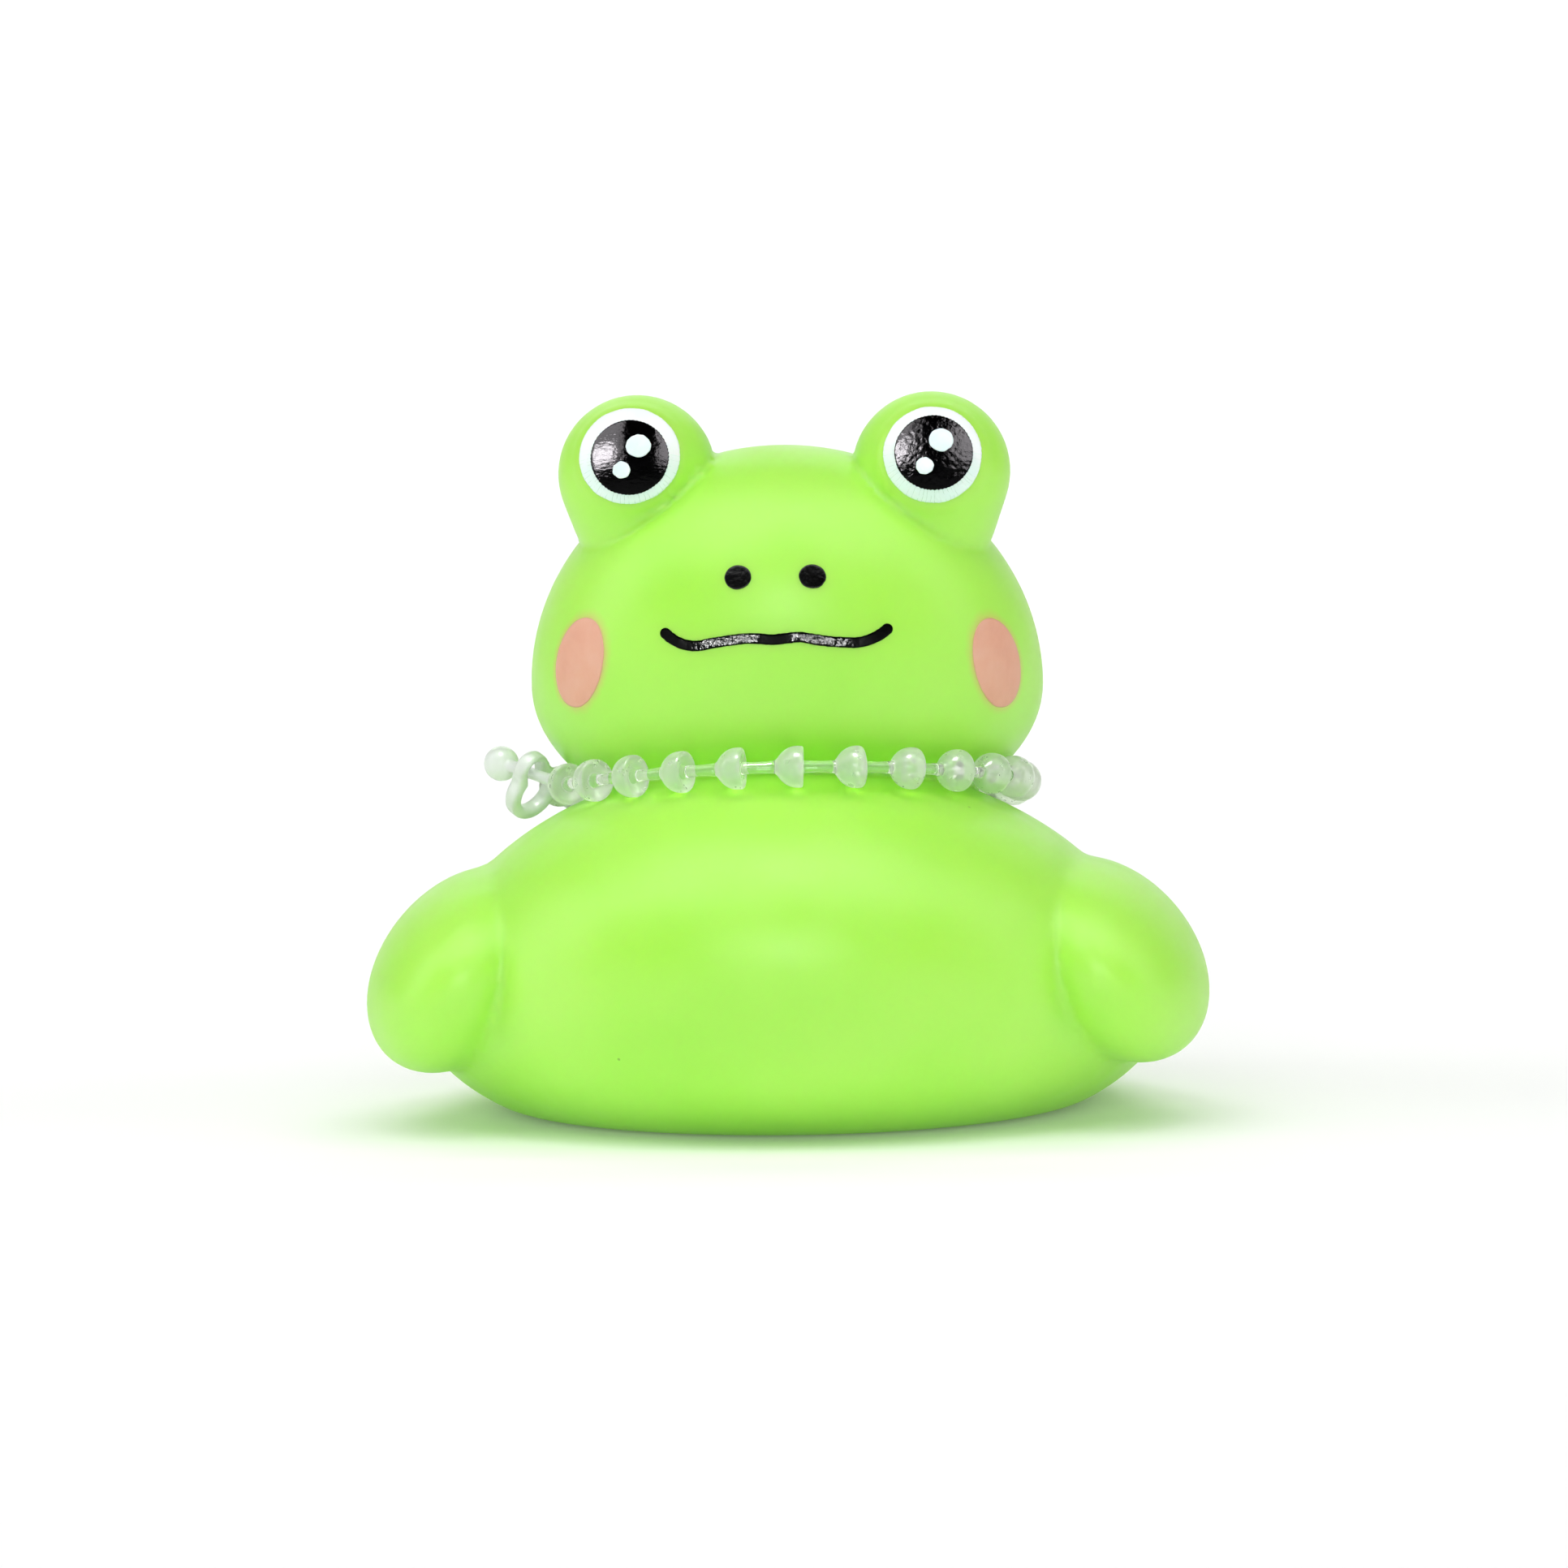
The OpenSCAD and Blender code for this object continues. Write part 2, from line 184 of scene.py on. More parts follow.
def surface_nets(fun, lo, hi, step):
    """A quad mesh of fun = 0, one vertex in each cell that the surface crosses."""
    ax = [np.arange(lo[i], hi[i] + step, step) for i in range(3)]
    X, Y, Z = np.meshgrid(*ax, indexing="ij")
    V = fun([X, Y, Z])
    inside = V < 0
    shape = tuple(n - 1 for n in V.shape)
    total, count = np.zeros(shape + (3,)), np.zeros(shape)
    crossed = []
    for axis in range(3):
        sl0, sl1 = [slice(None)] * 3, [slice(None)] * 3
        sl0[axis], sl1[axis] = slice(0, -1), slice(1, None)
        a, b = V[tuple(sl0)], V[tuple(sl1)]
        hit = inside[tuple(sl0)] != inside[tuple(sl1)]
        idx = np.argwhere(hit)
        t = a[hit] / (a[hit] - b[hit])
        pos = idx.astype(float)
        pos[:, axis] += t
        crossed.append((idx, inside[tuple(sl0)][hit]))
        others = [i for i in range(3) if i != axis]
        for da in (0, 1):
            for db in (0, 1):
                c = idx.copy()
                c[:, others[0]] -= da
                c[:, others[1]] -= db
                ok = np.all((c >= 0) & (c < np.array(shape)), axis=1)
                np.add.at(total, tuple(c[ok].T), pos[ok])
                np.add.at(count, tuple(c[ok].T), 1)
    cells = count > 0
    number = -np.ones(shape, int)
    number[cells] = np.arange(cells.sum())
    verts = total[cells] / count[cells][:, None] * step + np.array([ax[i][0] for i in range(3)])
    quads = []
    for axis, (idx, low_in) in enumerate(crossed):
        u, v = [(1, 2), (2, 0), (0, 1)][axis]
        c = []
        for du, dv in ((0, 0), (1, 0), (1, 1), (0, 1)):
            q = idx.copy()
            q[:, u] -= du
            q[:, v] -= dv
            c.append(number[tuple(q.T)])
        c = np.stack(c, axis=1)
        c[~low_in] = c[~low_in][:, ::-1]
        quads.append(c)
    return verts, np.vstack(quads)


def to_surface(fun, verts, rounds=4):
    p = [verts[:, i].copy() for i in range(3)]
    for _ in range(rounds):
        f = fun(p)
        g = gradient(fun, p)
        n2 = np.maximum(g[0] ** 2 + g[1] ** 2 + g[2] ** 2, 0.05)
        k = np.clip(f / n2, -0.4, 0.4)
        for i in range(3):
            p[i] -= k * g[i]
    return np.stack(p, axis=1)


def normal_at(fun, pts):
    g = np.stack(gradient(fun, [pts[:, i] for i in range(3)]), axis=1)
    return g / np.linalg.norm(g, axis=1)[:, None]


def march(origin, direction, far=60.0):
    """Where rays from outside meet the vinyl."""
    t = np.zeros(len(origin))
    for _ in range(90):
        p = origin + direction * t[:, None]
        t += 0.8 * outer([p[:, 0], p[:, 1], p[:, 2]])
        t = np.clip(t, 0, far)
    return origin + direction * t[:, None]


# ------------------------------------------------------------------- meshes

def mesh_object(name, verts, faces, material, smooth=True, uv=None):
    """verts in millimetres; faces a list of index tuples or an array of quads."""
    me = bpy.data.meshes.new(name)
    me.from_pydata((np.asarray(verts) * MM).tolist(), [], [tuple(int(i) for i in f) for f in faces])
    me.validate()
    me.update()
    if smooth:
        me.polygons.foreach_set("use_smooth", [True] * len(me.polygons))
    if uv is not None:
        layer = me.uv_layers.new(name="UVMap")
        loops = np.zeros(len(me.loops), int)
        me.loops.foreach_get("vertex_index", loops)
        layer.data.foreach_set("uv", np.asarray(uv)[loops].ravel())
    ob = bpy.data.objects.new(name, me)
    bpy.context.scene.collection.objects.link(ob)
    me.materials.append(material)
    return ob


def closed_sheet(top, bottom, rings, segs):
    """Faces of a thin closed patch. top and bottom hold a centre vertex and rings x segs vertices."""
    n = 1 + rings * segs
    verts = np.vstack([top, bottom])
    faces = []

    def at(side, r, s):
        return side * n + 1 + (r - 1) * segs + s % segs

    for s in range(segs):
        faces.append((0, at(0, 1, s), at(0, 1, s + 1)))
        faces.append((n, at(1, 1, s + 1), at(1, 1, s)))
        for r in range(1, rings):
            faces.append((at(0, r, s), at(0, r + 1, s), at(0, r + 1, s + 1), at(0, r, s + 1)))
            faces.append((at(1, r, s), at(1, r, s + 1), at(1, r + 1, s + 1), at(1, r + 1, s)))
        faces.append((at(0, rings, s), at(1, rings, s), at(1, rings, s + 1), at(0, rings, s + 1)))
    return verts, faces


def smooth_noise(n, waves, seed):
    """A closed wobble of n samples, with about that many waves, of unit size."""
    r = np.random.default_rng(seed)
    a = np.linspace(0, 2 * np.pi, n, endpoint=False)
    out = np.zeros(n)
    for k in range(2, waves + 1):
        out += r.normal() * np.cos(k * a + r.random() * 2 * np.pi) / (k ** 0.35)
    return out / np.abs(out).max()


def patch(name, place, outline, thick, base, material, rings=14, edge=0.12, seed=1, sunk=-0.1):
    """A patch of paint. outline holds closed (u, v) points in mm round (0, 0); place(u, v) gives
    points on the vinyl and their normals. base is the height under it and thick its own."""
    segs = len(outline)
    radius = np.linalg.norm(outline, axis=1)
    mean = radius.mean()
    fr = np.linspace(0, 1, rings + 1)[1:]
    fr = 1 - (1 - fr) ** 1.6
    uv = [np.zeros(2)]
    rise = [1.0]
    polar = [(0.0, 0.0)]
    for t in fr:
        for k in range(segs):
            uv.append(outline[k] * t)
            d = (1 - t) * mean / edge
            rise.append(math.sqrt(max(0.0, 1 - (1 - min(d, 1.0)) ** 2)))
            polar.append((k / segs, t))
    uv = np.array(uv)
    p, n = place(uv[:, 0], uv[:, 1])
    rise = np.array(rise)
    top = p + n * (base + thick * (0.15 + 0.85 * rise))[:, None]
    bottom = p + n * (base + sunk)
    verts, faces = closed_sheet(top, bottom, rings, segs)
    ob = mesh_object(name, verts, faces, material, uv=np.array(polar * 2))
    return ob


def lathe(profile, segs, frames):
    """Rings of a swept profile. profile is a list of (s, r); frames(s) gives centre, side, up."""
    verts, faces = [], []
    for s, r in profile:
        c, a, b = frames(s)
        for k in range(segs):
            t = 2 * math.pi * k / segs
            verts.append(c + (math.cos(t) * a + math.sin(t) * b) * r)
    rows = len(profile)
    for i in range(rows - 1):
        for k in range(segs):
            k2 = (k + 1) % segs
            faces.append((i * segs + k, i * segs + k2, (i + 1) * segs + k2, (i + 1) * segs + k))
    for i, flip in ((0, True), (rows - 1, False)):
        c = len(verts)
        verts.append(frames(profile[i][0])[0])
        for k in range(segs):
            k2 = (k + 1) % segs
            f = (i * segs + k, i * segs + k2, c)
            faces.append(f[::-1] if flip else f)
    return verts, faces


# ---------------------------------------------------------------- materials

def new_material(name):
    m = bpy.data.materials.new(name)
    m.use_nodes = True
    nt = m.node_tree
    nt.nodes.clear()
    out = nt.nodes.new("ShaderNodeOutputMaterial")
    bsdf = nt.nodes.new("ShaderNodeBsdfPrincipled")
    nt.links.new(bsdf.outputs[0], out.inputs["Surface"])
    return m, nt, bsdf


def node(nt, kind, **values):
    n = nt.nodes.new(kind)
    for k, v in values.items():
        if hasattr(n, k):
            setattr(n, k, v)
        else:
            n.inputs[k.replace("_", " ")].default_value = v
    return n


def coords(nt):
    return nt.nodes.new("ShaderNodeTexCoord").outputs["Object"]


def noise(nt, vec, scale, detail=3.0, rough=0.5):
    n = nt.nodes.new("ShaderNodeTexNoise")
    n.inputs["Scale"].default_value = scale
    n.inputs["Detail"].default_value = detail
    n.inputs["Roughness"].default_value = rough
    nt.links.new(vec, n.inputs["Vector"])
    return n.outputs["Fac"]


def ramp(nt, fac, stops):
    r = nt.nodes.new("ShaderNodeValToRGB")
    e = r.color_ramp.elements
    while len(e) > 1:
        e.remove(e[0])
    e[0].position, e[0].color = stops[0][0], stops[0][1]
    for pos, col in stops[1:]:
        q = e.new(pos)
        q.color = col
    nt.links.new(fac, r.inputs["Fac"])
    return r.outputs["Color"]


def math_node(nt, op, a, b=None, clamp=False):
    n = nt.nodes.new("ShaderNodeMath")
    n.operation = op
    n.use_clamp = clamp
    for i, v in enumerate((a, b)):
        if v is None:
            continue
        if isinstance(v, (int, float)):
            n.inputs[i].default_value = v
        else:
            nt.links.new(v, n.inputs[i])
    return n.outputs[0]


def mix_color(nt, fac, a, b):
    n = nt.nodes.new("ShaderNodeMix")
    n.data_type = "RGBA"
    for sock, v in ((n.inputs[0], fac), (n.inputs[6], a), (n.inputs[7], b)):
        if isinstance(v, (int, float)):
            sock.default_value = v
        elif isinstance(v, tuple):
            sock.default_value = v
        else:
            nt.links.new(v, sock)
    return n.outputs[2]


def bump(nt, height, strength, distance, normal=None):
    b = nt.nodes.new("ShaderNodeBump")
    b.inputs["Strength"].default_value = strength
    b.inputs["Distance"].default_value = distance
    nt.links.new(height, b.inputs["Height"])
    if normal is not None:
        nt.links.new(normal, b.inputs["Normal"])
    return b.outputs[0]


def grey(v):
    return (v, v, v, 1)


LIME = (0.43, 0.92, 0.088, 1)
LIME_DEEP = (0.40, 0.89, 0.072, 1)
LIME_PALE = (0.46, 0.935, 0.108, 1)
CHEEKS = []   # centre, across, upright, outward, half sizes: filled in below


def vinyl_material():
    m, nt, b = new_material("soft_vinyl")
    vec = coords(nt)
    tone = noise(nt, vec, 55, 3)
    col = ramp(nt, tone, [(0.3, LIME_DEEP), (0.5, LIME), (0.72, LIME_PALE)])
    # a soft orange edge round each sprayed cheek
    for c, ax, up, half in CHEEKS:
        sub = nt.nodes.new("ShaderNodeVectorMath")
        sub.operation = "SUBTRACT"
        nt.links.new(vec, sub.inputs[0])
        sub.inputs[1].default_value = tuple(v * MM for v in c)
        parts = []
        for axis, h in ((ax, half[0]), (up, half[1]), (np.cross(ax, up), 3.2)):
            dot = nt.nodes.new("ShaderNodeVectorMath")
            dot.operation = "DOT_PRODUCT"
            nt.links.new(sub.outputs[0], dot.inputs[0])
            dot.inputs[1].default_value = tuple(float(v) / (h * MM) for v in axis)
            parts.append(math_node(nt, "POWER", dot.outputs["Value"], 2.0))
        r = math_node(nt, "SQRT", math_node(nt, "ADD", math_node(nt, "ADD", parts[0], parts[1]), parts[2]))
        r = math_node(nt, "ADD", r, math_node(nt, "MULTIPLY", math_node(nt, "SUBTRACT", noise(nt, vec, 900, 2), 0.5), 0.10))
        halo = ramp(nt, r, [(0.0, grey(0.95)), (0.74, grey(0.85)), (0.84, grey(0.34)), (0.92, grey(0.12)), (1.0, grey(0.0))])
        col = mix_color(nt, halo, col, (0.86, 0.50, 0.20, 1))
    # specks in the vinyl
    speck = nt.nodes.new("ShaderNodeTexVoronoi")
    speck.inputs["Scale"].default_value = 140
    speck.inputs["Randomness"].default_value = 1.0
    nt.links.new(vec, speck.inputs["Vector"])
    dot = ramp(nt, speck.outputs["Distance"], [(0.0, grey(1)), (0.016, grey(0.9)), (0.024, grey(0))])
    some = ramp(nt, speck.outputs["Color"], [(0.60, grey(0)), (0.66, grey(0.55))])
    mask = math_node(nt, "MULTIPLY", dot, some)
    col = mix_color(nt, mask, col, (0.10, 0.26, 0.03, 1))
    nt.links.new(col, b.inputs["Base Color"])
    rough = ramp(nt, noise(nt, vec, 240, 3), [(0.3, grey(0.36)), (0.7, grey(0.45))])
    nt.links.new(rough, b.inputs["Roughness"])
    n1 = bump(nt, noise(nt, vec, 160, 2), 0.05, 0.0004)
    n2 = bump(nt, noise(nt, vec, 2600, 2), 0.10, 0.00003, n1)
    nt.links.new(n2, b.inputs["Normal"])
    b.inputs["Specular IOR Level"].default_value = 0.65
    b.inputs["Subsurface Weight"].default_value = 0.55
    b.inputs["Subsurface Radius"].default_value = (0.9, 1.2, 0.35)
    b.inputs["Subsurface Scale"].default_value = 0.0022
    return m


def frosted_material(name, clear, rough0, rough1, tint, pale, bend, bloom):
    """Milky soft plastic: part of the light goes through it blurred, and its edges are paler."""
    m, nt, b = new_material(name)
    vec = coords(nt)
    nt.links.new(ramp(nt, noise(nt, vec, 420, 3), [(0.3, tint), (0.7, pale)]), b.inputs["Base Color"])
    nt.links.new(ramp(nt, noise(nt, vec, 1100, 3), [(0.3, grey(rough0)), (0.7, grey(rough1))]), b.inputs["Roughness"])
    b.inputs["Transmission Weight"].default_value = clear
    b.inputs["IOR"].default_value = bend
    b.inputs["Coat Weight"].default_value = 0.6
    b.inputs["Coat Roughness"].default_value = 0.14
    b.inputs["Sheen Weight"].default_value = bloom
    b.inputs["Sheen Roughness"].default_value = 0.35
    nt.links.new(bump(nt, noise(nt, vec, 600, 2), 0.04, 0.00005), b.inputs["Normal"])
    return m


def black_material(name, ripple, wrinkle, spans=None, level=0.8, coat=0.8, rough=(0.12, 0.20)):
    """Glossy black enamel. ripple is for fine waves across it, wrinkle for a crinkled skin; spans
    holds (from, to) along X in millimetres where the skin is crinkled."""
    m, nt, b = new_material(name)
    vec = coords(nt)
    nt.links.new(ramp(nt, noise(nt, vec, 700, 3), [(0.35, (0.0015, 0.0015, 0.0015, 1)), (0.75, (0.005, 0.005, 0.006, 1))]), b.inputs["Base Color"])
    stretch = nt.nodes.new("ShaderNodeVectorMath")
    stretch.operation = "MULTIPLY"
    nt.links.new(vec, stretch.inputs[0])
    stretch.inputs[1].default_value = (0.30, 0.30, 1.0)
    waves = noise(nt, stretch.outputs[0], 3400, 3, 0.6)
    normal = bump(nt, waves, ripple, 0.00005)
    cells = nt.nodes.new("ShaderNodeTexVoronoi")
    cells.feature = "SMOOTH_F1"
    cells.inputs["Scale"].default_value = 2300
    nt.links.new(vec, cells.inputs["Vector"])
    height = math_node(nt, "ADD", math_node(nt, "MULTIPLY", cells.outputs["Distance"], 0.8), noise(nt, vec, 1500, 4, 0.65))
    if spans:
        sep = nt.nodes.new("ShaderNodeSeparateXYZ")
        nt.links.new(vec, sep.inputs[0])
        x = math_node(nt, "ADD", math_node(nt, "MULTIPLY", sep.outputs["X"], 1 / 0.020), 0.5, True)
        stops = [(0.0, grey(0.04))]
        for lo_x, hi_x in spans:
            stops += [(0.5 + (lo_x - 0.8) / 20, grey(0.06)), (0.5 + (lo_x + 0.8) / 20, grey(1)), (0.5 + (hi_x - 0.8) / 20, grey(1)), (0.5 + (hi_x + 0.3) / 20, grey(0.06))]
        mask = ramp(nt, x, stops)
        height = math_node(nt, "MULTIPLY", height, mask)
    normal = bump(nt, height, wrinkle, 0.00016, normal)
    nt.links.new(normal, b.inputs["Normal"])
    nt.links.new(ramp(nt, noise(nt, vec, 400, 2), [(0.3, grey(rough[0])), (0.7, grey(rough[1]))]), b.inputs["Roughness"])
    b.inputs["Specular IOR Level"].default_value = level
    b.inputs["Coat Weight"].default_value = coat
    b.inputs["Coat Roughness"].default_value = 0.08
    return m


def white_material():
    """White enamel, thin enough in the lower part of an eye to let the green through, and cracked there."""
    m, nt, b = new_material("white_enamel")
    uvn = nt.nodes.new("ShaderNodeUVMap")
    sep = nt.nodes.new("ShaderNodeSeparateXYZ")
    nt.links.new(uvn.outputs[0], sep.inputs[0])
    vec = coords(nt)
    # turn runs from 0 to 1 round the disc; the lower part is near 0.75
    low = ramp(nt, sep.outputs["X"], [(0.44, grey(0)), (0.56, grey(0.7)), (0.75, grey(1)), (0.94, grey(0.7)), (1.0, grey(0.1))])
    tint = mix_color(nt, math_node(nt, "MULTIPLY", low, 0.85), (0.93, 0.97, 0.96, 1), (0.72, 0.97, 0.84, 1))
    comb = nt.nodes.new("ShaderNodeCombineXYZ")
    wob = math_node(nt, "MULTIPLY", math_node(nt, "SUBTRACT", noise(nt, vec, 900, 2), 0.5), 0.012)
    nt.links.new(math_node(nt, "ADD", sep.outputs["X"], wob), comb.inputs[0])
    cr = nt.nodes.new("ShaderNodeTexVoronoi")
    cr.feature = "DISTANCE_TO_EDGE"
    cr.voronoi_dimensions = "1D"
    cr.inputs["Scale"].default_value = 62
    nt.links.new(math_node(nt, "ADD", sep.outputs["X"], wob), cr.inputs["W"])
    line = ramp(nt, cr.outputs["Distance"], [(0.0, grey(1)), (0.02, grey(0.6)), (0.05, grey(0))])
    broken = ramp(nt, noise(nt, vec, 1500, 2), [(0.42, grey(0)), (0.52, grey(1))])
    crack = math_node(nt, "MULTIPLY", math_node(nt, "MULTIPLY", line, low), broken)
    col = mix_color(nt, math_node(nt, "MULTIPLY", crack, 0.75), tint, (0.18, 0.42, 0.20, 1))
    nt.links.new(col, b.inputs["Base Color"])
    n = bump(nt, crack, -0.5, 0.00004, bump(nt, noise(nt, vec, 700, 3), 0.2, 0.00005))
    nt.links.new(n, b.inputs["Normal"])
    rough = ramp(nt, noise(nt, vec, 300, 2), [(0.3, grey(0.18)), (0.7, grey(0.30))])
    nt.links.new(rough, b.inputs["Roughness"])
    b.inputs["Subsurface Weight"].default_value = 0.15
    b.inputs["Subsurface Scale"].default_value = 0.0004
    return m


def cheek_material():
    m, nt, b = new_material("sprayed_cheek")
    vec = coords(nt)
    col = ramp(nt, noise(nt, vec, 420, 4), [(0.28, (0.90, 0.38, 0.26, 1)), (0.5, (0.94, 0.42, 0.29, 1)), (0.75, (0.96, 0.46, 0.33, 1))])
    nt.links.new(col, b.inputs["Base Color"])
    rough = ramp(nt, noise(nt, vec, 900, 2), [(0.3, grey(0.46)), (0.7, grey(0.58))])
    nt.links.new(rough, b.inputs["Roughness"])
    nt.links.new(bump(nt, noise(nt, vec, 1800, 3), 0.25, 0.00004), b.inputs["Normal"])
    b.inputs["Subsurface Weight"].default_value = 0.35
    b.inputs["Subsurface Radius"].default_value = (1.0, 0.6, 0.4)
    b.inputs["Subsurface Scale"].default_value = 0.0012
    return m


def plastic_material(name, a, c, rough0=0.34, rough1=0.5, scale=300, clear=0.0):
    m, nt, b = new_material(name)
    vec = coords(nt)
    nt.links.new(ramp(nt, noise(nt, vec, scale, 3), [(0.3, a), (0.7, c)]), b.inputs["Base Color"])
    nt.links.new(ramp(nt, noise(nt, vec, scale * 3, 2), [(0.3, grey(rough0)), (0.7, grey(rough1))]), b.inputs["Roughness"])
    nt.links.new(bump(nt, noise(nt, vec, scale * 5, 3), 0.25, 0.00004), b.inputs["Normal"])
    b.inputs["Subsurface Weight"].default_value = 0.2
    b.inputs["Subsurface Scale"].default_value = 0.0008
    if clear:
        b.inputs["Transmission Weight"].default_value = clear
    return m


# --------------------------------------------------------------- cheek places

def face_point(x, z):
    """Points of the face straight behind (x, z), and their normals."""
    x, z = np.atleast_1d(np.asarray(x, float)), np.atleast_1d(np.asarray(z, float))
    o = np.stack([x, np.full_like(x, -60.0), z], axis=1)
    p = march(o, np.tile([0.0, 1.0, 0.0], (len(x), 1)), 90)
    return p, normal_at(outer, p)


def cheek_frame(side):
    c0 = np.array([-18.6, -14.1 + Y0, 43.9]) if side < 0 else np.array([20.2, -12.3 + Y0, 43.3])
    turn = math.radians(48.5 if side < 0 else 54.9)
    out = np.array([side * math.sin(turn), -math.cos(turn), 0.02])
    out /= np.linalg.norm(out)
    across = np.cross([0, 0, 1], out)
    across /= np.linalg.norm(across)
    upright = np.cross(out, across)
    start = c0 + out * 20
    c = march(start[None], -out[None], 40)[0]
    return c, across, upright, out


for side in (-1, 1):
    c, across, upright, out = cheek_frame(side)
    # the sprayed edge follows the sheared outline of the patch
    CHEEKS.append((c - upright * 0.25, across + side * 0.28 * upright, upright, (4.5, 5.3)))

MAT = {
    "vinyl": vinyl_material(),
    "frosted": frosted_material("frosted_plastic", 0.74, 0.26, 0.36, (0.95, 1.0, 0.92, 1), (0.99, 1.0, 0.96, 1), 1.33, 0.8),
    "clear": frosted_material("clear_strand", 0.92, 0.03, 0.08, (0.97, 1.0, 0.95, 1), (0.99, 1.0, 0.97, 1), 1.45, 0.4),
    "milky": frosted_material("milky_plastic", 0.42, 0.42, 0.55, (0.90, 0.95, 0.91, 1), (0.96, 0.99, 0.96, 1), 1.36, 0.6),
    "black": black_material("black_enamel", 0.9, 0.10, None, 0.05, 0.0, (0.05, 0.10)),
    "black_right": black_material("black_enamel_right", 0.35, 0.55, None, 0.05, 0.0, (0.05, 0.10)),
    "crinkled": black_material("black_enamel_crinkled", 0.20, 0.95, [(-7.4, -1.6), (1.8, 7.4)], 0.06, 0.0, (0.08, 0.16)),
    "nostril": black_material("black_enamel_nostril", 0.15, 0.35, None, 0.40, 0.3, (0.20, 0.30)),
    "white": white_material(),
    "cheek": cheek_material(),
    "housing": plastic_material("housing_plastic", (0.74, 0.75, 0.70, 1), (0.86, 0.87, 0.82, 1)),
    "carrier": plastic_material("carrier_plastic", (0.70, 0.71, 0.68, 1), (0.82, 0.83, 0.80, 1), scale=420),
    "bed": plastic_material("bed_plastic", (0.12, 0.26, 0.60, 1), (0.20, 0.38, 0.74, 1)),
    "reed": plastic_material("reed_film", (0.62, 0.38, 0.10, 1), (0.76, 0.52, 0.18, 1), 0.12, 0.22, 500, 0.35),
}


# ------------------------------------------------------------------ vinyl

def make_shell():
    verts, quads = surface_nets(shell, (-42, -38, -1.4), (42, 38, 70), 0.7)
    verts = to_surface(shell, verts, 5)
    ob = mesh_object("vinyl_body", verts, quads, MAT["vinyl"])
    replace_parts(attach(ob, "shell"), "body_shell")
    return ob


# -------------------------------------------------------------------- eyes

def eye_axes(side):
    z = gaze(side)
    x = np.cross([0, 0, 1], z)
    x /= np.linalg.norm(x)
    return np.array([side * EYE[0] + EYE_DX, EYE[1], EYE[2]]), x, np.cross(z, x), z


def dome_place(side):
    c, x, y, z = eye_axes(side)

    def place(u, v):
        rho = np.sqrt(np.asarray(u) ** 2 + np.asarray(v) ** 2)
        w = np.sqrt(np.maximum(EYE_R ** 2 - rho ** 2, 0.01))
        d = np.outer(u, x) + np.outer(v, y) + np.outer(w, z)
        d /= np.linalg.norm(d, axis=1)[:, None]
        p = march(c + d * (EYE_R + 4), -d, 10)
        return p, normal_at(outer, p)
    return place


def round_outline(cx, cy, rx, ry, n, wobble, waves, seed, teeth=0.0):
    a = np.linspace(0, 2 * np.pi, n, endpoint=False)
    w = 1 + wobble * smooth_noise(n, waves, seed)
    if teeth:
        w += teeth * np.sin(64 * a + 2.2 * smooth_noise(n, 20, seed + 50)) * (0.6 + 0.4 * smooth_noise(n, 9, seed + 70))
    return np.stack([rx * w * np.cos(a), ry * w * np.sin(a)], axis=1), (cx, cy)


def disc(name, side, centre, rx, ry, base, thick, material, cad, n, wobble, waves, seed, edge=0.1, rings=14, teeth=0.0):
    outline, _ = round_outline(0, 0, rx, ry, n, wobble, waves, seed, teeth)
    at = dome_place(side)
    ob = patch(name, lambda u, v: at(u + centre[0], v + centre[1]), outline, thick, base, material, rings, edge)
    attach(ob, "shell")
    if cad:
        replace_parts(ob, cad)
    return ob


def make_eye(side):
    word = "left" if side < 0 else "right"
    s = 10 if side < 0 else 20
    px, py = (0.18, -0.38) if side < 0 else (0.08, 0.01)
    disc(word + "_white_paint", side, (0.06, -0.04) if side < 0 else (0, 0), 4.56 if side < 0 else 4.41, 4.46 if side < 0 else 4.43, 0.0, 0.10, MAT["white"], word + "_eye_white", 288, 0.008, 20, s + 1, teeth=0.004)
    disc(word + "_pupil_paint", side, (px, py), 3.47, 3.39, 0.10, 0.10, MAT["black" if side < 0 else "black_right"], word + "_pupil", 384, 0.007, 16, s + 2, teeth=0.009)
    big = (1.02, 0.45) if side < 0 else (0.74, 0.97)
    small = (-0.42, -1.70) if side < 0 else (-0.74, -1.32)
    a = disc(word + "_catchlight_large", side, big, 1.08, 1.06, 0.19, 0.09, MAT["white_dot"], word + "_catchlights", 96, 0.035, 13, s + 3, 0.08, 8)
    disc(word + "_catchlight_small", side, small, 0.79, 0.72, 0.19, 0.09, MAT["white_dot"], None, 72, 0.045, 9, s + 4, 0.08, 8)
    return a


# ------------------------------------------------------- nostrils and mouth

def face_patch(name, cx, cz, outline, cad, seed):
    ob = patch(name, lambda u, v: face_point(u + cx, v + cz), outline, 0.11, 0.0, MAT["nostril"], 8, 0.1)
    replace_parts(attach(ob, "shell"), cad)
    return ob


def make_nostril(side):
    word = "left" if side < 0 else "right"
    n = 72
    a = np.linspace(0, 2 * np.pi, n, endpoint=False)
    w = 1 + 0.02 * smooth_noise(n, 9, 31 + side)
    x, z = 1.26 * w * np.cos(a), 1.08 * w * np.sin(a)
    t = math.radians(-side * 12)
    outline = np.stack([x * math.cos(t) - z * math.sin(t), x * math.sin(t) + z * math.cos(t)], axis=1)
    face_patch(word + "_nostril_paint", side * 3.44 + 0.05, 51.93, outline, word + "_nostril", 1)


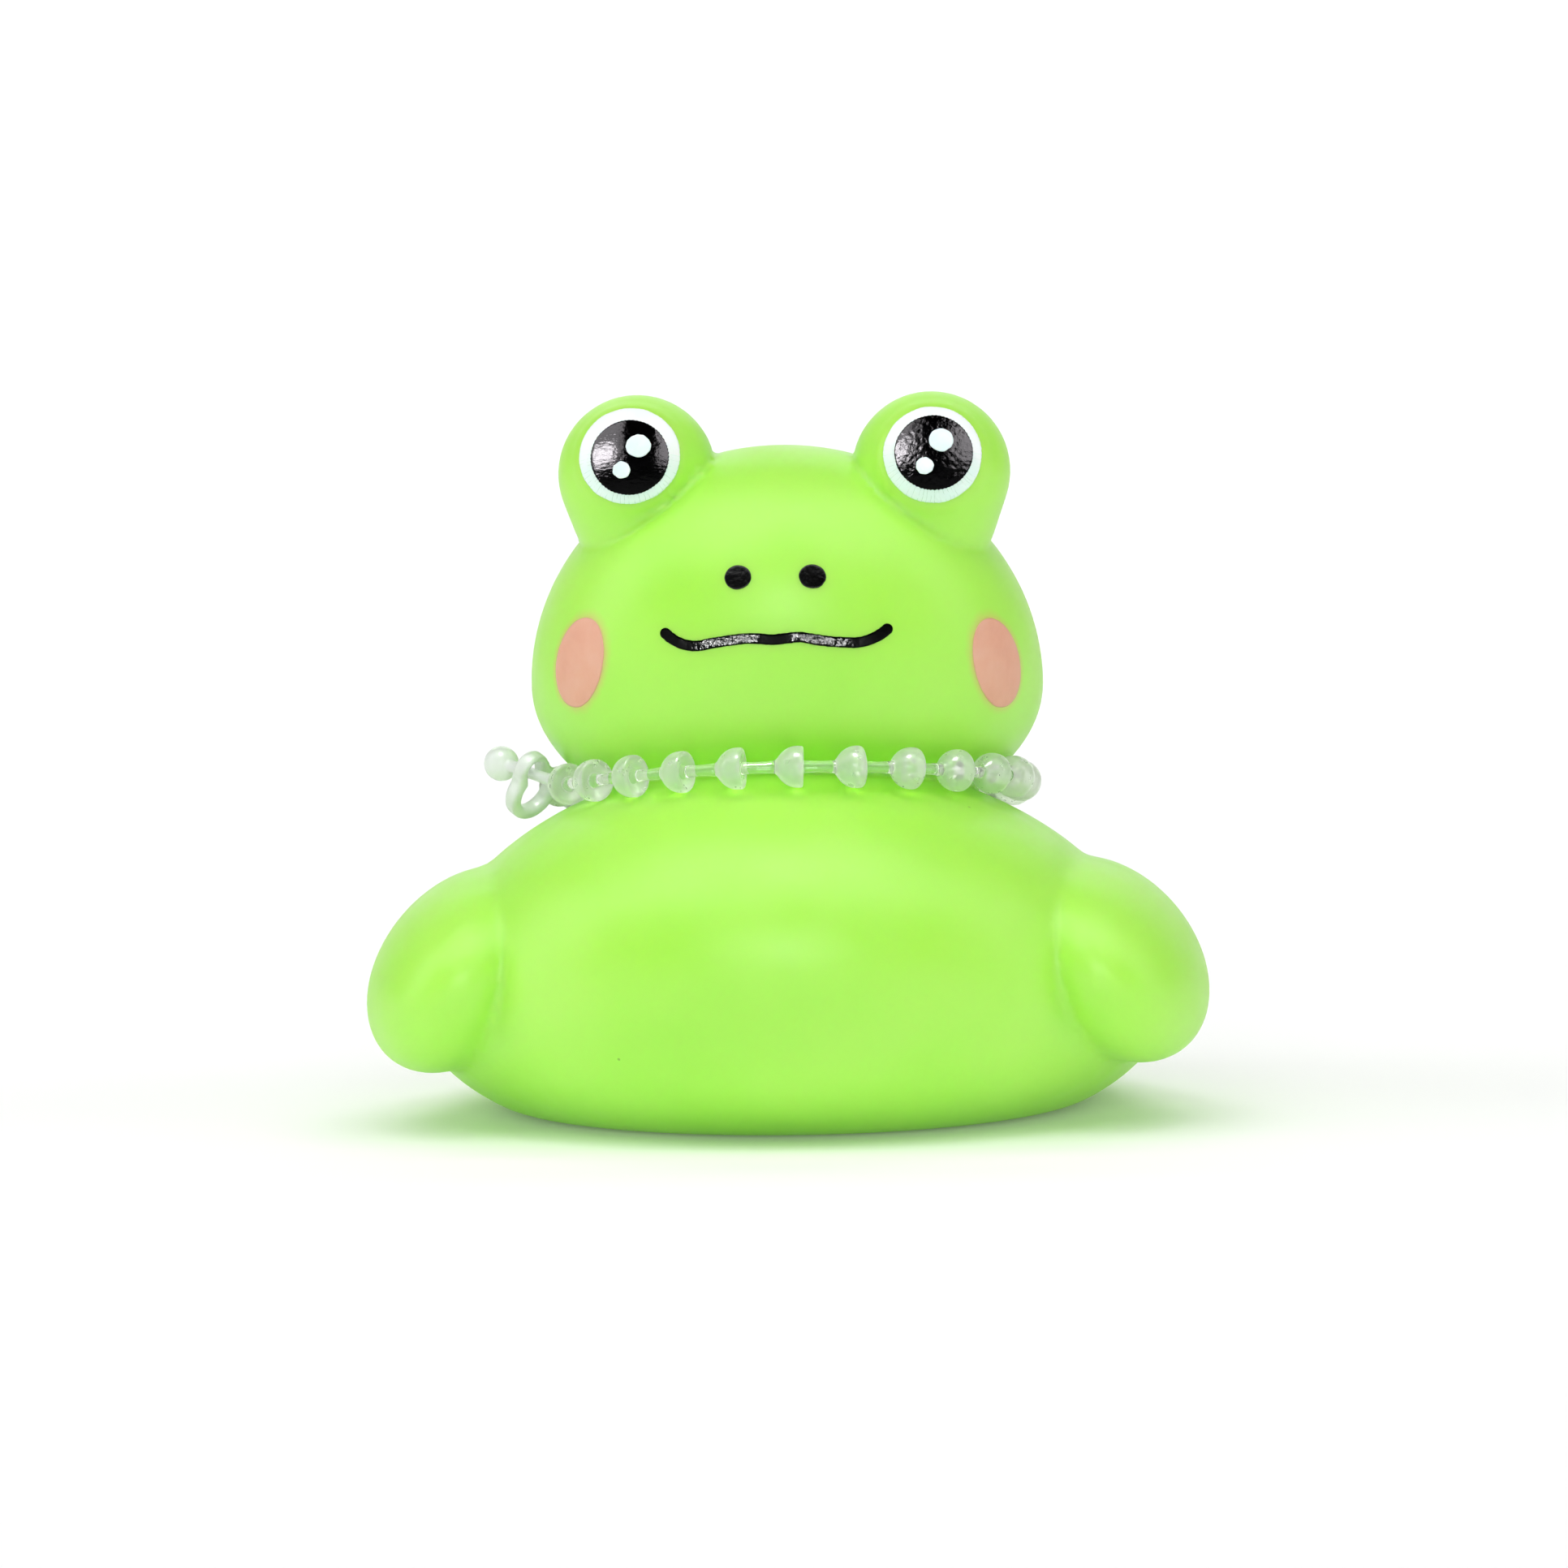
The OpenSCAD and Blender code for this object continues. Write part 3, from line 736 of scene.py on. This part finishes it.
def make_mouth():
    """A brush stroke: a strip along the line, with round ends and slightly uneven edges."""
    R, cup, a = 47.0, 4.6, math.radians(8.07)
    c0 = np.array([0.0, 46.3 - R])
    c1 = c0 + (R + cup) * np.array([math.sin(a), math.cos(a)])

    def half(end):
        pts = []
        for t in np.linspace(math.pi / 2, math.pi / 2 - a, 34, endpoint=False):
            pts.append(c0 + R * np.array([math.cos(t), math.sin(t)]))
        for t in np.linspace(-math.pi / 2 - a, math.radians(end), 30):
            pts.append(c1 + cup * np.array([math.cos(t), math.sin(t)]))
        return np.array(pts)
    line = np.vstack([(half(-50)[::-1] * [-1, 1])[:-1], half(-49)])
    # the brush wavered a little
    x = line[:, 0]
    for height, at, width in ((-0.19, -8.5, 2.2), (0.11, -3.0, 1.6), (-0.08, -0.3, 1.0), (0.17, 2.2, 1.1), (-0.07, 5.2, 1.3)):
        line[:, 1] += height * np.exp(-((x - at) / width) ** 2)
    d = np.gradient(line, axis=0)
    length = np.concatenate([[0], np.cumsum(np.linalg.norm(np.diff(line, axis=0), axis=1))])
    d /= np.linalg.norm(d, axis=1)[:, None]
    nrm = np.stack([-d[:, 1], d[:, 0]], axis=1)
    n = len(line)
    r = np.random.default_rng(5)

    def wobble():
        w = np.zeros(n)
        for k in range(3, 40):
            w += r.normal() * np.sin(length * k * 0.42 + r.random() * 7) / k ** 0.6
        return w / np.abs(w).max()
    stout = 0.495 + 0.03 * (np.abs(line[:, 0]) > 8) * np.clip((np.abs(line[:, 0]) - 8) / 2, 0, 1)
    up, dn = stout + 0.028 * wobble(), stout + 0.028 * wobble()
    cross = np.linspace(-1, 1, 11)
    flat, rise, uvs = [], [], []
    caps = 9
    rows = []
    for k in range(1, caps):
        t = math.pi / 2 * k / caps
        rows.append((0, -math.cos(t), math.sin(t)))
    for i in range(n):
        rows.append((i, 0.0, 1.0))
    for k in range(caps - 1, 0, -1):
        t = math.pi / 2 * k / caps
        rows.append((n - 1, math.cos(t), math.sin(t)))
    for i, along, width in rows:
        for c in cross:
            half_w = (up if c > 0 else dn)[i] * width
            flat.append(line[i] + d[i] * along * 0.51 + nrm[i] * c * half_w)
            edge_d = (1 - abs(c)) * half_w
            end_d = min(edge_d, 0.51 * (1 - math.hypot(along, c * width))) if along else edge_d
            e = min(max(end_d, 0) / 0.12, 1.0)
            rise.append(math.sqrt(1 - (1 - e) ** 2))
            uvs.append((length[i] / length[-1], c * 0.5 + 0.5))
    flat, rise = np.array(flat), np.array(rise)
    p, nn = face_point(flat[:, 0], flat[:, 1])
    top = p + nn * (0.015 + 0.10 * rise)[:, None]
    bottom = p - nn * 0.1
    m, w = len(rows), len(cross)
    verts = np.vstack([top, bottom])
    faces = []
    N = m * w
    for i in range(m - 1):
        for j in range(w - 1):
            a0, b0 = i * w + j, (i + 1) * w + j
            faces.append((a0, b0, b0 + 1, a0 + 1))
            faces.append((N + a0, N + a0 + 1, N + b0 + 1, N + b0))
    for i in range(m - 1):
        for j, sgn in ((0, 1), (w - 1, -1)):
            a0, b0 = i * w + j, (i + 1) * w + j
            f = (a0, N + a0, N + b0, b0)
            faces.append(f if sgn > 0 else f[::-1])
    for j in range(w - 1):
        a0 = j
        faces.append((a0, a0 + 1, N + a0 + 1, N + a0))
        b0 = (m - 1) * w + j
        faces.append((b0, N + b0, N + b0 + 1, b0 + 1))
    ob = mesh_object("mouth_paint", verts, faces, MAT["crinkled"], uv=np.array(uvs * 2))
    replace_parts(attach(ob, "shell"), "mouth_line")


# ------------------------------------------------------------------ cheeks

def make_cheek(side):
    word = "left" if side < 0 else "right"
    c, across, upright, out = cheek_frame(side)
    n = 120
    a = np.linspace(0, 2 * np.pi, n, endpoint=False)
    w = 1 + 0.008 * smooth_noise(n, 12, 60 + side)
    # egg: fuller above on the inner side, below on the outer side
    u = 3.55 * w * np.cos(a)
    v = 4.25 * w * np.sin(a) - 0.25
    u = u - side * 0.28 * v
    outline = np.stack([u, v], axis=1)

    def place(u, v):
        o = c + np.outer(u, across) + np.outer(v, upright) + out * 12
        p = march(o, np.tile(-out, (len(o), 1)), 30)
        return p, normal_at(outer, p)
    ob = patch(word + "_cheek_paint", place, outline, 0.05, 0.0, MAT["cheek"], 12, 0.35)
    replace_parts(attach(ob, "shell"), word + "_cheek")


# ------------------------------------------------------------------- chain

LOOP_C = np.array([0.0, -1.2 + Y0, 31.1])
LOOP_R, TILT = 22.0, math.radians(9.5)
PITCH, PHASE, FIRST, LAST = 14.4, 4.9, -5, 18
TAIL = np.array([-0.62, 0.78, 0.056]) / np.linalg.norm([-0.62, 0.78, 0.056])


def loop_vec(v):
    return np.array([v[0], v[1] * math.cos(TILT) + v[2] * math.sin(TILT), -v[1] * math.sin(TILT) + v[2] * math.cos(TILT)])


def sag(deg):
    """How far the chain hangs below the plane of the loop, most near its lock."""
    t = min(max((12 - deg) / 72, 0), 1)
    return 0.22 * math.exp(-(deg / 72) ** 4) + 0.5 * t * t * (3 - 2 * t) if deg < 120 else 0.0


def on_loop(deg, hang=True):
    a = math.radians(deg)
    return LOOP_C + loop_vec((LOOP_R * math.sin(a), -LOOP_R * math.cos(a), 0)) - np.array([0, 0, sag(deg) if hang else 0.0])


def loop_frame(deg, tip=0.0, nod=0.0):
    """Centre, outward, upward and along directions at an angle of the loop, tipped a little."""
    a = math.radians(deg)
    out = loop_vec((math.sin(a), -math.cos(a), 0))
    up = loop_vec((0, 0, 1))
    along = loop_vec((math.cos(a), math.sin(a), 0))
    along = along + out * math.tan(math.radians(tip)) + up * math.tan(math.radians(nod))
    along /= np.linalg.norm(along)
    out = out - along * (out @ along)
    out /= np.linalg.norm(out)
    return on_loop(deg), out, np.cross(along, out), along


# the bead in profile: the strand flares into a half ball, then a rim with a rounded lip, and a face hollowed round the strand
BEAD = [(-2.35, 0.585), (-2.15, 0.60), (-2.02, 0.645), (-1.92, 0.72), (-1.82, 0.84), (-1.70, 1.00), (-1.56, 1.18), (-1.40, 1.36), (-1.18, 1.55), (-0.94, 1.71),
        (-0.66, 1.835), (-0.36, 1.917), (-0.08, 1.95), (0.18, 1.955), (0.36, 1.94), (0.47, 1.895), (0.54, 1.82), (0.56, 1.72), (0.55, 1.60), (0.50, 1.46),
        (0.41, 1.28), (0.31, 1.08), (0.21, 0.91), (0.13, 0.79), (0.13, 0.70), (0.23, 0.635), (0.40, 0.60), (0.64, 0.58)]


def strand_r(t):
    """Radius of the strand halfway between beads: it is drawn a little thinner in the middle."""
    return 0.575 - 0.05 * math.sin(math.pi * t)


def make_chain():
    r = np.random.default_rng(11)
    arc = math.radians(PITCH) * LOOP_R
    beads = list(range(FIRST, LAST + 1))
    size = {k: 1 + 0.012 * r.normal() for k in beads}
    tips = {k: (r.normal() * 2.0, r.normal() * 2.4) for k in beads}
    rows = []   # bead, distance along the strand from it, radius
    for k in beads:
        for s, rad in BEAD:
            rows.append((k, s, min(rad * (size[k] if rad > 0.75 else 1.0), 1.985)))
        if k != beads[-1]:
            gap0, gap1 = BEAD[-1][0], arc + BEAD[0][0]
            for t in np.linspace(0, 1, 8)[1:-1]:
                rows.append((k, gap0 + (gap1 - gap0) * t, strand_r(t)))
    segs = 36
    verts, faces = [], []
    for k, s, rad in rows:
        base = k * PITCH + PHASE
        deg = base + math.degrees(s / LOOP_R)
        if s <= 0.7:
            # the bead is a rigid turned shape, tipped a little on the strand
            w = min(1.0, (2.6 - abs(s)) / 1.0)
            tip, nod = tips[k]
            _, f_out, f_up, along = loop_frame(base + math.degrees(s / LOOP_R) * (1 - 0.5 * w), tip * w, nod * w)
            centre = (on_loop(base) + along * s) * w + on_loop(deg) * (1 - w)
        else:
            centre, f_out, f_up, _ = loop_frame(deg)
        for i in range(segs):
            t = 2 * math.pi * i / segs
            verts.append(centre + (math.cos(t) * f_out + math.sin(t) * f_up) * rad)
    m = len(rows)
    strand_faces = []
    for i in range(m - 1):
        thin = max(rows[i][2], rows[i + 1][2]) < 0.72
        for j in range(segs):
            j2 = (j + 1) % segs
            if thin:
                strand_faces.append(len(faces))
            faces.append((i * segs + j, i * segs + j2, (i + 1) * segs + j2, (i + 1) * segs + j))
    for i, flip in ((0, True), (m - 1, False)):
        c = len(verts)
        verts.append(np.mean(verts[i * segs:(i + 1) * segs], axis=0))
        for j in range(segs):
            j2 = (j + 1) % segs
            f = (i * segs + j, i * segs + j2, c)
            faces.append(f[::-1] if flip else f)
    ob = mesh_object("beads_and_strand", verts, faces, MAT["frosted"])
    ob.data.materials.append(MAT["clear"])
    for f in strand_faces:
        ob.data.polygons[f].material_index = 1
    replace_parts(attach(ob, "chain"), "bead_chain")
    return ob


def tail_frame():
    x = np.cross([0, 0, 1], TAIL)
    x /= np.linalg.norm(x)
    return x, np.cross(TAIL, x)


def make_tail():
    """The free end: a strand that leaves the first bead and ends in a round ball."""
    x, y = tail_frame()
    knot = on_loop(FIRST * PITCH + PHASE, False)
    prof = [(1.99, 0.50), (2.02, 0.57), (2.2, 0.585)]
    for t in np.linspace(0, 1, 14)[1:]:
        prof.append((2.2 + (9.3 - 2.2) * t, 0.58 - 0.03 * math.sin(math.pi * t)))
    R, c = 1.67, 11.2
    for a in np.linspace(158, 0, 26):
        prof.append((c - R * math.cos(math.radians(180 - a)), max(R * math.sin(math.radians(180 - a)), 0.02)))
    drop = on_loop(FIRST * PITCH + PHASE)[2] - knot[2]

    def frames(s):
        return knot + TAIL * s + np.array([0, 0, drop * (1 - min(max((s - 2) / 8.0, 0), 1) ** 1.2)]), x, y
    verts, faces = lathe(prof, 32, frames)
    ob = mesh_object("chain_free_end", verts, faces, MAT["milky"])
    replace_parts(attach(ob, "tail"), "chain_tail")
    return ob


def make_eyelet():
    """The keyhole plate, from a small field of its own so that every edge is rounded."""
    x0, y0v = tail_frame()
    knot = on_loop(FIRST * PITCH + PHASE, False)
    lean, twist = math.radians(-28), math.radians(-25)
    x = x0 * math.cos(twist) + y0v * math.sin(twist)
    y1 = y0v * math.cos(twist) - x0 * math.sin(twist)
    y = y1 * math.cos(lean) + TAIL * math.sin(lean)
    z = -y1 * math.sin(lean) + TAIL * math.cos(lean)
    c = knot + TAIL * 6.2
    a = on_loop(LAST * PITCH + PHASE)
    e = c - x * 2.7 - y * 2.4

    def f(q):
        u = sum((q[i] - c[i]) * x[i] for i in range(3))
        v = sum((q[i] - c[i]) * y[i] for i in range(3))
        w = sum((q[i] - c[i]) * z[i] for i in range(3))
        big = np.sqrt(u ** 2 + (v + 2.7) ** 2) - 2.9
        small = np.sqrt(u ** 2 + (v - 0.1) ** 2) - 1.75
        web = np.maximum(np.abs(u) - 1.75, np.abs(v + 1.3) - 1.4)
        body = smin(smin(big, small, 0.8), web, 0.3)
        hole = np.sqrt(u ** 2 + (v + 2.7) ** 2) - 1.8
        vv = np.clip(v, -2.7, 0.35)
        slot = np.sqrt(u ** 2 + (v - vv) ** 2) - 0.85
        g = smax(body, -smin(hole, slot, 0.15), 0.25)
        plate = smax(g, np.abs(w) - 0.8, 0.55)
        ae = e - a
        L = np.linalg.norm(ae)
        d = ae / L
        s = a + d * 1.75
        link = capsule(q, s, d, L - 1.75, 0.6, 0.62)
        return smin(plate, link, 0.5)
    lo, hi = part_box("chain_eyelet")
    lo, hi = np.array(lo) / MM - 0.8, np.array(hi) / MM + 0.8
    verts, quads = surface_nets(f, lo, hi, 0.14)
    verts = to_surface(f, verts, 4)
    ob = mesh_object("chain_keyhole_plate", verts, quads, MAT["milky"])
    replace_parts(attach(ob, "chain"), "chain_eyelet")
    return ob


# --------------------------------------------------------------- squeaker

def make_housing():
    """The flanged cup, turned, with rounded edges and a moulded ring round the vent."""
    z = [(1.62, 0.34), (1.75, 0.30), (3.2, 0.30), (3.35, 0.34), (3.5, 0.52), (3.9, 0.52), (4.05, 0.34), (4.2, 0.30), (9.6, 0.30), (9.9, 0.32), (10.2, 0.42), (10.45, 0.6),
         (10.58, 0.85), (10.6, 1.2), (10.58, 1.5), (10.5, 1.58), (8.1, 1.6), (8.0, 1.68), (8.0, 5.0), (8.78, 5.02), (8.88, 5.12), (8.88, 5.35), (7.85, 7.1), (7.8, 7.3),
         (7.8, 13.6), (7.72, 13.85), (7.55, 14.0), (6.35, 14.0), (6.25, 13.9), (6.25, 13.42), (6.65, 13.4), (6.65, 12.6), (6.4, 12.6), (6.4, 3.4), (5.3, 3.4), (5.3, 1.5),
         (1.75, 1.5), (1.6, 1.45), (1.5, 1.3), (1.5, 0.5)]
    segs = 96
    verts, faces = [], []
    for r, h in z:
        for k in range(segs):
            t = 2 * math.pi * k / segs
            verts.append((SQ[0] + r * math.cos(t), SQ[1] + r * math.sin(t), h))
    n = len(z)
    for i in range(n):
        j = (i + 1) % n
        for k in range(segs):
            k2 = (k + 1) % segs
            faces.append((i * segs + k, i * segs + k2, j * segs + k2, j * segs + k))
    ob = mesh_object("squeaker_cup", verts, faces, MAT["housing"])
    m = ob.modifiers.new("edges", "EDGE_SPLIT")
    m.split_angle = math.radians(40)
    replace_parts(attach(ob, "shell"), "squeaker_housing")
    return ob


MAT["white_dot"] = plastic_material("white_dot_enamel", (0.84, 0.97, 0.93, 1), (0.93, 0.99, 0.97, 1), 0.16, 0.28, 700)

make_shell()
for side in (-1, 1):
    make_eye(side)
    make_nostril(side)
    make_cheek(side)
make_mouth()
make_chain()
make_tail()
make_eyelet()
make_housing()

for name, mat, slot_name in (("reed_carrier", "carrier", "squeaker_plastic"), ("reed_wedge", "carrier", "squeaker_plastic"), ("squeaker_cap", "housing", "squeaker_plastic"),
                             ("reed_bed", "bed", "bed_plastic"), ("reed_heel", "reed", "reed_film"), ("reed_tongue", "reed", "reed_film")):
    ob = frame["nodes"][name]
    ob.data.materials.clear()
    ob.data.materials.append(MAT[mat])


# ------------------------------------------------------- stage, light, camera

def make_stage():
    """A pale sheet: flat under the figure and curved up far behind it."""
    m, nt, b = new_material("pale_sheet")
    vec = coords(nt)
    nt.links.new(ramp(nt, noise(nt, vec, 3, 2), [(0.3, grey(0.90)), (0.7, grey(0.92))]), b.inputs["Base Color"])
    b.inputs["Roughness"].default_value = 0.8
    b.inputs["Specular IOR Level"].default_value = 0.2
    b.inputs["Emission Color"].default_value = (1, 1, 1, 1)
    b.inputs["Emission Strength"].default_value = 0.08   # lit a little from behind, like a light table
    near = [(-1.6, 0.0), (0.22, 0.0)]
    far = [near[-1], (0.9, 0.0)]
    for a in np.linspace(0, 90, 25)[1:]:
        far.append((0.9 + 0.6 * math.sin(math.radians(a)), 0.6 - 0.6 * math.cos(math.radians(a))))
    far.append((1.5, 2.6))
    for name, prof in (("pale_sheet", near), ("pale_sheet_far", far)):
        verts, faces = [], []
        for y, z in prof:
            verts += [(-3.2, y, z), (3.2, y, z)]
        for i in range(len(prof) - 1):
            faces.append((2 * i, 2 * i + 1, 2 * i + 3, 2 * i + 2))
        me = bpy.data.meshes.new(name)
        me.from_pydata(verts, [], faces)
        me.polygons.foreach_set("use_smooth", [True] * len(me.polygons))
        ob = bpy.data.objects.new(name, me)
        bpy.context.scene.collection.objects.link(ob)
        me.materials.append(m)
    # the lit background throws no light forward on the figure, as if it were metres away
    ob.visible_diffuse = False


def area(name, loc, target, size, power, color=(1, 1, 1)):
    l = bpy.data.lights.new(name, "AREA")
    l.shape = "RECTANGLE"
    l.size, l.size_y = size
    l.energy = power
    l.color = color
    ob = bpy.data.objects.new(name, l)
    bpy.context.scene.collection.objects.link(ob)
    ob.location = loc
    ob.rotation_mode = "QUATERNION"
    ob.rotation_quaternion = (Vector(target) - Vector(loc)).to_track_quat("-Z", "Y")
    return ob


make_stage()
mid = (0, 0, 0.035)


def around(azimuth, elevation, distance):
    """A place round the figure: azimuth 0 is in front of the face, and positive to the right."""
    a, e = math.radians(azimuth), math.radians(elevation)
    return (distance * math.sin(a) * math.cos(e), -distance * math.cos(a) * math.cos(e), mid[2] + distance * math.sin(e))


key_left = area("key_left", around(-48, 62, 1.1), mid, (0.95, 0.95), 5.75)
key_right = area("key_right", around(50, 62, 1.1), mid, (0.90, 0.90), 4.6)
side_left = area("side_left", around(-85, 20, 1.1), mid, (0.5, 0.9), 2.65)
side_right = area("side_right", around(85, 20, 1.1), mid, (0.5, 0.9), 1.9)
front = area("front", around(0, 14, 1.6), mid, (0.9, 0.5), 6.35)
back_wash = area("back_wash", (0.0, 0.75, 1.3), (0, 1.5, 0.5), (1.6, 0.8), 18.0)



def group(name, wanted):
    c = bpy.data.collections.new(name)
    for ob in bpy.context.scene.objects:
        if ob.type == "MESH" and wanted(ob.name):
            c.objects.link(ob)
    return c


# the soft light in front is kept off the black enamel; the pupils and the mouth show boxes of their own
front.light_linking.receiver_collection = group("front_light_group", lambda n: not any(w in n for w in ("pupil", "nostril", "mouth")))
no_pupils = group("all_but_pupils", lambda n: "pupil" not in n and "mouth" not in n)
pupils = group("pupils", lambda n: "pupil" in n)
for light in (key_left, key_right, side_left, side_right):
    light.light_linking.receiver_collection = no_pupils
back_wash.light_linking.receiver_collection = group("background", lambda n: n.startswith("pale_sheet"))

# a small lamp overhead that only the clear plastic catches
chain_lamp = area("chain_lamp", around(-15, 72, 1.1), mid, (0.35, 0.35), 12.0)
chain_lamp.visible_diffuse = False
chain_lamp.light_linking.receiver_collection = group("clear_parts", lambda n: "chain" in n or "beads" in n)


def toward(azimuth, elevation):
    a, e = math.radians(azimuth), math.radians(elevation)
    return Vector((math.sin(a) * math.cos(e), -math.cos(a) * math.cos(e), math.sin(e)))


def box_in_the_eye(name, face, low, high, size, side, power):
    """A tall light seen only in the pupils. low and high are directions to the ends of its inner edge."""
    face = face.normalized()
    a, b = low / low.dot(face), high / high.dot(face)
    upright = (b - a).normalized()
    across = upright.cross(face)
    outward = across if across.x * side > 0 else -across
    centre = (a + (upright * size[1] + outward * size[0]) / 2) * 1.1 + Vector((0, -0.008, 0.061))
    ob = area(name, centre, (0, 0, 0), (size[0] * 1.1, size[1] * 1.1), power, (1.0, 0.95, 1.0))
    ob.rotation_quaternion = Matrix(((across.x, upright.x, face.x), (across.y, upright.y, face.y), (across.z, upright.z, face.z))).to_quaternion()
    ob.visible_diffuse = False
    ob.light_linking.receiver_collection = pupils


box_in_the_eye("eye_box_left", toward(-48, 45), toward(-16, 23), toward(-50, 72), (1.05, 1.25), -1, 150)
box_in_the_eye("eye_box_left_low", toward(-48, 45), toward(-30, 22), toward(-62, 66), (0.55, 0.42), -1, 190)
box_in_the_eye("eye_box_right", toward(57, 42), toward(31, 21), toward(60, 62), (0.9, 1.0), 1, 150)

world = bpy.data.worlds.new("studio") if not bpy.context.scene.world else bpy.context.scene.world
bpy.context.scene.world = world
world.use_nodes = True
wn = world.node_tree
wn.nodes.clear()
wo, wb = wn.nodes.new("ShaderNodeOutputWorld"), wn.nodes.new("ShaderNodeBackground")
wb.inputs["Color"].default_value = (1, 1, 1, 1)
wb.inputs["Strength"].default_value = 0.08
wn.links.new(wb.outputs[0], wo.inputs["Surface"])
world.cycles_visibility.glossy = False

AZ, EL, ROLL, DIST = math.radians(2.8), math.radians(5.0), math.radians(0.86), 0.8
back = Vector((math.sin(AZ) * math.cos(EL), -math.cos(AZ) * math.cos(EL), math.sin(EL)))
right = Vector((math.cos(AZ), math.sin(AZ), 0))
upv = back.cross(right)
target = Vector((0, Y0 * MM, 0.0333))
# the form's reference point lies a little off the middle of the frame, which is 148.6 mm wide there
px, py = (966 - 971.8) / 13.0, (934.0 - 966) / 13.0
ax_ = px * math.cos(ROLL) + py * math.sin(ROLL)
ay_ = -px * math.sin(ROLL) + py * math.cos(ROLL)
cam_data = bpy.data.cameras.new("camera")
cam = bpy.data.objects.new("camera", cam_data)
bpy.context.scene.collection.objects.link(cam)
cam.location = target + back * DIST
aim = target + right * ax_ * MM + upv * ay_ * MM
look = (aim - cam.location).normalized()
cam.rotation_mode = "QUATERNION"
q = look.to_track_quat("-Z", "Y")
zc = -look
xr = right.copy()
xr = (xr - zc * xr.dot(zc)).normalized()
yr = zc.cross(xr)
# roll the frame so that the object's left side sits a little lower
xr2 = xr * math.cos(ROLL) - yr * math.sin(ROLL)
yr2 = xr * math.sin(ROLL) + yr * math.cos(ROLL)
cam.rotation_quaternion = Matrix(((xr2.x, yr2.x, zc.x), (xr2.y, yr2.y, zc.y), (xr2.z, yr2.z, zc.z))).to_quaternion()
cam_data.sensor_width = 36
cam_data.lens = 36 * DIST / (1932 / 13.0 * MM)
cam_data.clip_start, cam_data.clip_end = 0.01, 20
bpy.context.scene.camera = cam
bpy.context.scene.view_settings.view_transform = "Standard"
bpy.context.scene.view_settings.look = "None"



def glint(name, x0, x1, z, tall, power):
    """A light seen only in the mouth's enamel, where it mirrors the way from x0 to x1."""
    points, normals = face_point([x0, x1], [z, z])
    ways = []
    for p, n in zip(points, normals):
        view = (cam.location - Vector(p) * MM).normalized()
        n = Vector(n)
        ways.append((2 * n.dot(view) * n - view).normalized())
    centre = Vector(points.mean(axis=0)) * MM + (ways[0] + ways[1]).normalized() * 1.1
    ob = area(name, centre, Vector(points.mean(axis=0)) * MM, ((ways[1] - ways[0]).length * 1.1, tall), power)
    ob.visible_diffuse = False
    ob.light_linking.receiver_collection = mouth


mouth = group("mouth", lambda n: "mouth" in n)
glint("mouth_box_left", -6.6, -2.7, 46.0, 0.5, 420)
glint("mouth_box_right", 2.7, 5.9, 46.0, 0.5, 380)
